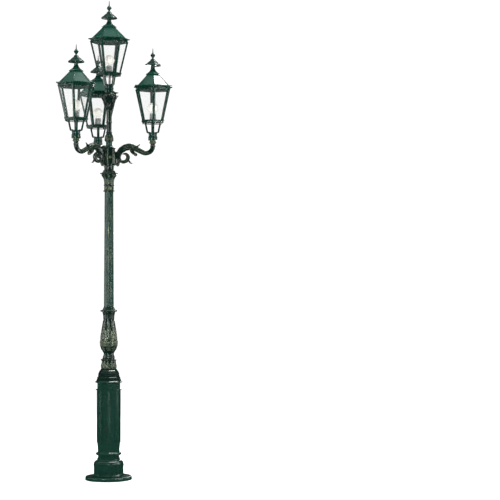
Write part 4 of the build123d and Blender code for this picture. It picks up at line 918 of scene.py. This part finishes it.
def arm_shells():
    """Every shell of one arm, lying along +X with its heights above the hub's foot."""
    crest_gold = 0.15 + 0.6 * gilt_between(0.56, 0.88, 90)
    crest = free_leaf([(62, 74), (72, 106), (96, 141), (134, 166), (180, 178.5), (222, 171), (252, 159), (270, 160),
                       (281, 170), (286, 180)],
                      [16, 26, 36, 42, 44, 42, 30, 14, 6, 3], depth=6.0, lobes=8, wrap=26.0, gilt=crest_gold)
    flick = tapered_bar([(238, 146, 10), (252, 150, 8.5), (264, 156, 7), (274, 163, 5.5), (281, 168.5, 4.6),
                         (286.5, 172.5, 3.2)])
    sleeve = free_leaf([(108, 22), (104, 66), (118, 96), (146, 118), (184, 130), (216, 124), (238, 108)],
                       [8, 12, 15, 18, 20, 17, 5], depth=4.0, lobes=6, wrap=30.0, gilt=0.4)
    drop = free_leaf([(254, 84), (246, 86), (230, 98), (214, 112), (196, 128)], [6, 17, 21, 20, 12],
                     depth=6.5, thick=9.0, lobes=4, gilt=0.2, curl=4.0)
    drop_under = free_leaf([(196, 122), (208, 108), (224, 94), (240, 82), (252, 78)], [10, 17, 19, 17, 9],
                           depth=6.5, thick=9.0, gilt=0.2, curl=5.0)
    spur = free_leaf([(170, 38), (180, 29), (189, 20), (198, 12), (208, 8), (219, 7)], [12, 11, 9, 7, 4.5, 1.6],
                     depth=5.0, thick=6.0, lobes=3, gilt=0.2)
    spur_stem = tapered_bar([(178, 32, 11), (189, 20, 9), (197, 9, 6.2), (207.5, 3, 3.8), (216, 1.5, 2.2)])
    root = free_leaf([(92, -6), (88, 18), (76, 44), (66, 70), (63, 96)], [15, 18, 18, 15, 6],
                     depth=7.0, thick=8.0, gilt=0.3)
    cheek = free_leaf([(108, 24), (98, 12), (90, 0), (84, -10)], [12, 14, 13, 6],
                      depth=6.0, thick=9.0, lobes=3, gilt=0.3)
    front, half, foot, top = PLATE["face"] + PLATE["thick"], PLATE["half"], PLATE["foot"], PLATE["top"]
    plate = rounded_bar((PLATE["face"], -half, foot), (front, half, top), 3.0)
    border = rounded_bar((front - 1, -half + 5, foot + 5), (front + 2.5, half - 5, top - 22), 2.5)
    block = rounded_bar((56, -16, -2), (87, 16, 84), 8.0)
    return [BAR_SHELL, scroll_band(), crest, flick, sleeve, drop, drop_under, spur, spur_stem, root, cheek, plate,
            border, block, *(knob(*volute) for volute in KNOBS), arm_end()]


ARM_SHELL = joined(arm_shells())
for side, angle in ARM_ANGLES.items():
    piece(f"scrolled_arm_{side}", [moved(ARM_SHELL, angle, (0, 0, HUB_FOOT))], CARVED_PAINT, "post",
          [f"arm_{side}"])
print("an arm has", len(ARM_SHELL[1]), "faces")

# %% [markdown]
# ## Lantern trim
#
# A lantern is glazed like a small greenhouse: panes sit behind corner bars, held by thin glazing beads, and a
# folded bead covers each hip of the roof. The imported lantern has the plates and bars. The beads are what
# draws its crisp light lines, so they are added here as rods with domed ends. A rod between two points is
# simple enough to repeat for every edge. The trim is made once round a lantern's own axis, with the flat that
# carries the hinge facing +X.

# %% Rods and where the lanterns stand
LANTERN_TURNS = {"right": 25.5, "left": 254.5, "back": 114.5, "top": 118.0}
SIDES = 6
GLAZING = {"foot": (103.5, 177.0), "top": (168.0, 453.0)}
BAR_W, BAR_THICK = 13.0, 6.0
FASCIA = {"radius": 172.0, "foot": 453.0, "top": 480.0}
EAVE = {"radius": 190.0, "foot": 480.6, "top": 486.0}
ROOF = {"foot": (155.0, 486.0), "top": (55.0, 590.0)}
RIM = {"radius": 113.0, "foot": 168.0, "top": 177.0}
LEG = {"foot": (54.0, 65.0), "top": (74.0, 168.0)}
ROD_COLUMNS = 12
# along and across the dome at a rod's end, as shares of its radius
ROD_DOME = [(0.25, 0.97), (0.75, 0.66), (1.0, 0.0)]


def lantern_centre(name):
    """The lantern's axis and the foot of its socket, in millimetres."""
    low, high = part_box(f"bulb_{name}")
    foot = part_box(f"bracket_{name}")[0].z
    return (low.x + high.x) / 2 / MM, (low.y + high.y) / 2 / MM, foot / MM


def rod(start, end, radius, end_radius=None, columns=ROD_COLUMNS):
    """A straight round rod with domed ends between two points in millimetres."""
    start, end = np.array(start, float), np.array(end, float)
    end_radius = radius if end_radius is None else end_radius
    along = unit(end - start)
    helper = np.array([0, 0, 1.0]) if abs(along[2]) < 0.9 else np.array([1.0, 0, 0])
    side = unit(np.cross(helper, along))
    up = np.cross(along, side)
    turn = ring_angles(columns)
    rows = []
    for centre, size, way in ((start, radius, -1), (end, end_radius, 1)):
        rings = [(way * size * drop * 0.6, size * share) for share, drop in ROD_DOME]
        for shift, wide in (rings if way < 0 else rings[::-1]):
            ring = centre + along * shift
            rows.append(ring + wide * (np.cos(turn)[:, None] * side + np.sin(turn)[:, None] * up))
    return ring_shell(np.array(rows))


def corner(radius, level, k):
    """A corner of a hexagonal course, k counted from the one before the flat that faces +X."""
    angle = math.radians(60 * k + 30)
    return np.array([radius * math.cos(angle), radius * math.sin(angle), level])


def hexagon_beads(courses):
    """A rod along each side of hexagonal courses, given by radius, level and rod radius."""
    return [rod(corner(radius, level, k), corner(radius, level, k + 1), size)
            for radius, level, size in courses for k in range(SIDES)]


def unit(vector):
    """The vector at length one."""
    return vector / np.linalg.norm(vector)


def glazing_rods():
    """Corner beads, their feet, and the thin beads that hold each pane, round one lantern."""
    shells = []
    (foot_r, foot_z), (top_r, top_z) = GLAZING["foot"], GLAZING["top"]
    for k in range(SIDES):
        foot, top = corner(foot_r - 0.6, foot_z + 4, k), corner(top_r - 0.6, top_z - 1, k)
        shells.append(rod(foot, top, 3.6))
        shells.append(rod(corner(foot_r + 0.5, foot_z - 2, k), corner(foot_r + 2.2, foot_z + 7, k), 6.5, 5.0))
        behind = BAR_THICK / math.cos(math.pi / SIDES)
        glass_foot = [corner(foot_r - behind, foot_z + 2.0, j) for j in (k, k + 1)]
        glass_top = [corner(top_r - behind, top_z - 1.5, j) for j in (k, k + 1)]
        foot_way = unit(glass_foot[1] - glass_foot[0])
        inset = BAR_W + 0.8 - behind * 0.5
        a, b = glass_foot[0] + foot_way * inset, glass_foot[1] - foot_way * inset
        c, d = glass_top[0] + foot_way * inset, glass_top[1] - foot_way * inset
        out = unit(corner(1, 0, k) + corner(1, 0, k + 1)) * 1.8
        shells += [rod(a + out, c + out, 2.0), rod(b + out, d + out, 2.0),
                   rod(a + out, b + out, 2.4), rod(c + out, d + out, 2.4)]
    return shells


def frame_trim():
    """Beads along the fascia, the gallery rim and the legs."""
    return glazing_rods() + hexagon_beads([
        (FASCIA["radius"] - 1.4, FASCIA["foot"] + 2.4, 2.6), (FASCIA["radius"] - 6.2, FASCIA["foot"] + 14.5, 2.4),
        (FASCIA["radius"] - 0.6, FASCIA["top"] - 4.0, 2.4), (RIM["radius"] - 1.6, RIM["top"] - 2.0, 2.2)])


def leg_trim(leg_turn):
    """A raised rib down the outside of each leg."""
    (foot_r, foot_z), (top_r, top_z) = LEG["foot"], LEG["top"]
    rib = rod((foot_r + 0.2, 0, foot_z + 9), (top_r - 0.4, 0, top_z - 3), 3.2)
    return [moved(rib, leg_turn + 90 * k) for k in range(4)]


def roof_trim():
    """A bead on each hip, seam beads and a small ball at each eave corner, all moving with the roof."""
    shells = []
    (foot_r, foot_z), (top_r, top_z) = ROOF["foot"], ROOF["top"]
    eave = EAVE["radius"]
    for k in range(SIDES):
        shells.append(rod(corner(foot_r - 1, foot_z + 2, k), corner(top_r, top_z - 1, k), 4.2, 3.4))
        shells.append(rod(corner(eave - 9, EAVE["top"] + 0.5, k), corner(eave - 3.4, EAVE["top"] - 2.5, k), 3.6, 2.8))
    return shells + hexagon_beads([(eave - 2.2, (EAVE["foot"] + EAVE["top"]) / 2 + 0.2, 2.4),
                                   (foot_r - 0.5, foot_z + 1.0, 2.6), (top_r - 0.4, top_z - 3.0, 2.2)])


LEG_TURNS = {"right": 0.0, "left": 45.0, "back": 0.0, "top": 45.0}
FRAME_TRIM, ROOF_TRIM = joined(frame_trim()), joined(roof_trim())
for name, turn in LANTERN_TURNS.items():
    centre = lantern_centre(name)
    legs = joined(leg_trim(LEG_TURNS[name]))
    piece(f"lantern_trim_{name}", [moved(FRAME_TRIM, turn, centre), moved(legs, turn, centre)], PAINT, "post")
    piece(f"roof_trim_{name}", [moved(ROOF_TRIM, turn, centre)], SHEET_PAINT_LIT_FROM_ABOVE, f"roof_{name}")
print("a lantern's frame trim has", len(FRAME_TRIM[1]), "faces")

# %% [markdown]
# ## Lamps
#
# Through the clear panes each lantern shows a milky globe on a grey holder with fine cooling ribs. Under the
# holder stands a rigid conduit, with a black lead beside it. These are turned shapes, so an outline and a
# full turn make them. The ribs are a ripple on the radius.

# %% Turn the globes and their holders
HOLDER = {"foot": 177.0, "radius": 28.5, "height": 66.0, "ribs": 30}
GLOBE = {"radius": 47.5, "neck": 20.0, "foot": 243.0}
CONDUIT = {"radius": 6.0, "foot": 48.2, "lead_radius": 3.5, "lead_away": 11.0}


def globe_lamp():
    """The opal globe with the smooth neck that runs down into its cap."""
    radius, neck, foot = GLOBE["radius"], GLOBE["neck"], GLOBE["foot"]
    middle = foot + 5.5 + math.sqrt(radius ** 2 - neck ** 2)
    outline = [(neck - 3.0, foot + 0.05), (neck, foot + 1.0), (neck + 0.4, foot + 4.0), (neck + 2.6, foot + 7.2)]
    low = math.asin((foot + 11.5 - middle) / radius)
    for turn in np.linspace(low, math.pi / 2 - 0.02, 36):
        outline.append((radius * math.cos(turn), middle + radius * math.sin(turn)))
    return turned_bead(outline, columns=72)


def ribbed_holder():
    """Base flange, ribbed body and plain collar of the lamp holder."""
    foot, radius, height = HOLDER["foot"], HOLDER["radius"], HOLDER["height"]
    plain = [(radius + 6, foot + 0.05), (radius + 6, foot + 3.5), (radius + 4.8, foot + 5.0),
             (radius - 1.5, foot + 6.0)]
    ribbed = [(radius - 1.4, foot + 8), (radius - 0.2, foot + 9.5), (radius - 0.2, foot + height - 17),
              (radius - 1.4, foot + height - 15.5)]
    top = [(radius - 1.5, foot + height - 14), (radius, foot + height - 13), (radius, foot + height - 8),
           (radius - 2.4, foot + height - 6), (radius - 3, foot + height - 4), (radius - 3, foot + height - 0.6),
           (radius - 7, foot + height - 0.1)]
    angles = ring_angles(HOLDER["ribs"] * 6)
    ripple = 1.3 * (0.5 + 0.5 * np.cos(angles * HOLDER["ribs"])) ** 0.7 - 1.3
    rows = [level_ring(away + share * ripple, level, angles)
            for share, part in ((0.0, plain), (1.0, ribbed), (0.0, top)) for away, level in part]
    return ring_shell(np.array(rows))


def cable_gland(level):
    """A six-sided nut with a domed cap, under the holder."""
    nut = turned_bead([(10.4, level), (11.5, level + 1), (11.5, level + 6), (10.4, level + 7)], columns=6)
    cap = turned_bead([(8.8, level - 6)] + round_over(8.6, level - 5.5, level + 0.5, 1.2, 7), columns=40)
    return [nut, cap]


GLOBE_SHELL, HOLDER_SHELL = globe_lamp(), ribbed_holder()
for name, turn in LANTERN_TURNS.items():
    centre = lantern_centre(name)
    piece(f"opal_globe_{name}", [moved(GLOBE_SHELL, 0, centre)], OPAL_GLASS, "post",
          [f"bulb_{name}"])
    piece(f"ribbed_holder_{name}", [moved(HOLDER_SHELL, turn, centre)], HOLDER_METAL, "post",
          [f"lamp_holder_{name}"])
    top = HOLDER["foot"] - 0.1
    conduit = [rod((0, 0, CONDUIT["foot"]), (0, 0, top), CONDUIT["radius"], columns=28)] + cable_gland(top - 8.0)
    piece(f"conduit_{name}", [moved(joined(conduit), turn, centre)], CONDUIT_PLASTIC, "post")
    away = CONDUIT["lead_away"]
    lead = [rod((away, 0, CONDUIT["foot"]), (away, 0, top), CONDUIT["lead_radius"], columns=20)]
    piece(f"lead_{name}", [moved(joined(lead), 0, centre)], BLACK_RUBBER, "post")
print("lamps made")

# %% [markdown]
# ## Rosettes
#
# Small cast flowers sit on the capital's band and on the free faces of the hub. A rosette is a height over a
# disc: a raised rim, eight petals with a fold down each, and a boss in the middle. Rings from the rim to the
# centre hold it, and the back is flat against the casting.

# %% Cast the rosettes
ROSETTE_PETALS = 8
ROSETTE_RINGS, ROSETTE_COLUMNS = 26, 128


def rosette_shell(radius, height):
    """A rosette lying on the XY plane."""
    angles = ring_angles(ROSETTE_COLUMNS)
    rows = [level_ring(radius * 0.96, -0.4, angles)]
    gilt = [np.zeros_like(angles)]
    petal = 0.5 + 0.5 * np.cos(angles * ROSETTE_PETALS)
    fold = np.exp(-(((angles * ROSETTE_PETALS / np.pi + 1) % 2 - 1) / 0.16) ** 2)
    for share in np.linspace(1.0, 0.03, ROSETTE_RINGS):
        rim = np.exp(-((share - 0.93) / 0.055) ** 2)
        body = smooth_step(0.26, 0.40, share) * (1 - smooth_step(0.74, 0.86, share))
        boss = math.sqrt(max(0.0, 1 - (share / 0.27) ** 2)) if share < 0.27 else 0.0
        level = 0.18 + 0.42 * rim + body * (0.12 + 0.52 * petal ** 0.8 - 0.10 * fold) + 0.75 * boss
        rows.append(level_ring(radius * share, height * level, angles))
        gilt.append(np.clip(rim + body * petal + boss, 0, 1) * np.ones_like(angles))
    return ring_shell(np.array(rows), np.array(gilt))


def stood_on(shell, distance, level, direction):
    """A shell from the XY plane stood out from an upright face, its own Z pointing outwards."""
    points = np.stack([shell[0][:, 2] + distance, shell[0][:, 0], shell[0][:, 1] + level], -1)
    return moved((points, shell[1], shell[2]), direction)


def wrapped_on(shell, radius, level, direction):
    """The same on a round face: the rosette bends with it."""
    across, out = shell[0][:, 0] / radius, radius + shell[0][:, 2]
    points = np.stack([out * np.cos(across), out * np.sin(across), shell[0][:, 1] + level], -1)
    return moved((points, shell[1], shell[2]), direction)


CAPITAL_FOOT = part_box("capital")[0].z / MM
BAND_ROSETTE = rosette_shell(15.5, 4.6)
HUB_ROSETTE = rosette_shell(14.0, 4.0)
piece("band_rosettes", [wrapped_on(BAND_ROSETTE, 41.0, CAPITAL_FOOT + 33.0, 7 + 60 * k) for k in range(6)],
      CARVED_GOLD, "post", ["capital_rosettes"])
piece("hub_flowers", [stood_on(HUB_ROSETTE, 46.0, HUB_FOOT + 59.0, 67 + 120 * k) for k in range(3)],
      CARVED_GOLD, "post", ["hub_rosettes"])
print("rosettes made")

# %% [markdown]
# ## The bell under the upper lantern, and beads round the panels
#
# The stem ends in a bell of eight acanthus leaves whose tips stand clear of it and carry the most gold. The
# leaves are the free leaves of the arms again, stood up round the axis. On the base, a fine bead runs round
# every sunk panel and round the door. It is a thin round bar swept along an outline.

# %% The leafed bell
BELL_OUTLINE = [(30.0, 0.1), (32.0, 3.0), (33.5, 6.0), (32.0, 12.0), (29.0, 15.0), (32.0, 23.0), (39.0, 53.0),
                (52.0, 84.0), (62.0, 108.0), (68.0, 120.0), (70.0, 126.0), (68.0, 131.0), (55.0, 135.0),
                (46.0, 142.0), (41.0, 146.0), (40.0, 150.0), (37.0, 153.9), (24.0, 154.0)]
TALL_SPINE = [(33, 14), (36, 34), (43, 58), (55, 84), (66, 106), (74, 121), (81, 127), (88, 124)]
TALL_WIDTHS = [9, 13, 16, 20, 24, 22, 13, 1.5]
LOW_SPINE = [(33, 15), (37, 30), (44, 50), (52, 66), (58, 68)]
LOW_WIDTHS = [9, 13, 13, 8, 1.5]


def stem_bell():
    """The bell with eight tall leaves, eight low ones between their roots, and the spigot for the socket."""
    foot, top = (end.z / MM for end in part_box("stem_capital"))
    outline = BELL_OUTLINE + [(24.0, top - foot - 0.1)]
    gold = np.array([0.3 * (118 < level < 134) for _, level in outline])[:, None]
    tall = free_leaf(TALL_SPINE, TALL_WIDTHS, depth=6.0, thick=4.0, lobes=6, rows=60,
                     gilt=0.12 + 0.88 * gilt_between(0.68, 1.1, 60), curl=3.0)
    low = free_leaf(LOW_SPINE, LOW_WIDTHS, depth=5.0, thick=4.0, lobes=4, gilt=0.25, rows=36, curl=2.0)
    shells = [turned_bead(outline, columns=96, gold=gold)]
    shells += [moved(tall, 22.5 + 45 * k) for k in range(8)] + [moved(low, 45 * k) for k in range(8)]
    return [moved(shell, 0, (0, 0, foot)) for shell in shells]


piece("stem_bell", stem_bell(), CARVED_PAINT, "post", ["stem_capital"])

# %% Beads round the panels and the door
COLUMN_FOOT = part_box("base_column")[0].z / MM
FLAT_AWAY = 98.4
# the lines that the beads' middles follow, in millimetres across and above the column's foot
PANEL = {"half": 23.2, "round_middle": 108.0, "top": 517.2}
PANEL_END_TOP = 165.8
DOOR = {"half": 25.6, "foot": 173.4, "top": 518.6}
BEAD_R = 2.6
BEAD_SUNK = 0.9
ARRIS = {"away": 97.3, "radius": 10.0, "foot": 80.0, "top": 543.0}


def round_corner(x, z, turn_from, radius=4.0, steps=5):
    """Points round a corner, whose centre is given."""
    angles = np.radians(np.linspace(turn_from, turn_from - 90, steps))
    return [(x + radius * math.cos(t), z + radius * math.sin(t)) for t in angles]


def with_mirror(right):
    """The right half of an outline, followed by its mirror image back to the start."""
    return right + [(-x, z) for x, z in right[-2::-1]]


def square_top(half, top, foot):
    """From the middle of the top, round the corner and down the side."""
    down = [(half, z) for z in np.linspace(top - 8, foot, 10)]
    return [(0, top)] + round_corner(half - 4, top - 4, 90) + down


def bead_on_flat(outline, turn):
    """A fine bead along a closed outline that lies on one flat of the column."""
    path = np.array(outline, float)
    bead = swept(path, np.full(len(path), BEAD_R), np.ones_like, columns=14)
    return moved(moved(bead, 0, (0, BEAD_SUNK - FLAT_AWAY, COLUMN_FOOT)), turn)


def round_foot():
    """The right half of a panel's round lower end."""
    return round_corner(0, PANEL["round_middle"], 0, PANEL["half"], 14)


def panel_outline():
    """The outline of a sunk panel: square corners above, a half circle below."""
    return with_mirror(square_top(PANEL["half"], PANEL["top"], PANEL["round_middle"] + 4) + round_foot())


def panel_end_outline():
    """The round lower end of the front panel, up to the foot of the door."""
    side = [(PANEL["half"], z) for z in np.linspace(PANEL_END_TOP, PANEL["round_middle"] + 4, 6)]
    return with_mirror(side + round_foot())


def door_outline():
    """The middle of the door's rim, clear of the lock's head."""
    half, foot = DOOR["half"], DOOR["foot"]
    right = square_top(half, DOOR["top"], foot + 8) + round_corner(half - 4, foot + 4, 0) + [(0, foot)]
    return with_mirror(right)


def outer_part(angles):
    """A circle cut down to a core on its inner side, which would else stand out of the wall into the column."""
    return np.interp(np.cos(angles), [-0.5, -0.3, 0.0], [1.0, 0.88, 0.12])


def arris_rod():
    """A round rod let into an arris of the column, so that the arris reads as a soft line of light."""
    path = np.stack([np.full(12, ARRIS["away"]), np.linspace(ARRIS["foot"], ARRIS["top"], 12)], -1)
    rod_skin = swept(path, np.full(len(path), ARRIS["radius"]), outer_part, columns=20)
    return moved(rod_skin, 0, (0, 0, COLUMN_FOOT))


beads = [bead_on_flat(panel_outline(), 45 * k) for k in range(1, 8)] + [bead_on_flat(panel_end_outline(), 0)]
beads += [moved(arris_rod(), 22.5 + 45 * k) for k in range(8)]
piece("panel_beads", beads, PAINT, "post")
piece("door_bead", [bead_on_flat(door_outline(), 0)], PAINT, "door")
print("bell and beads made")
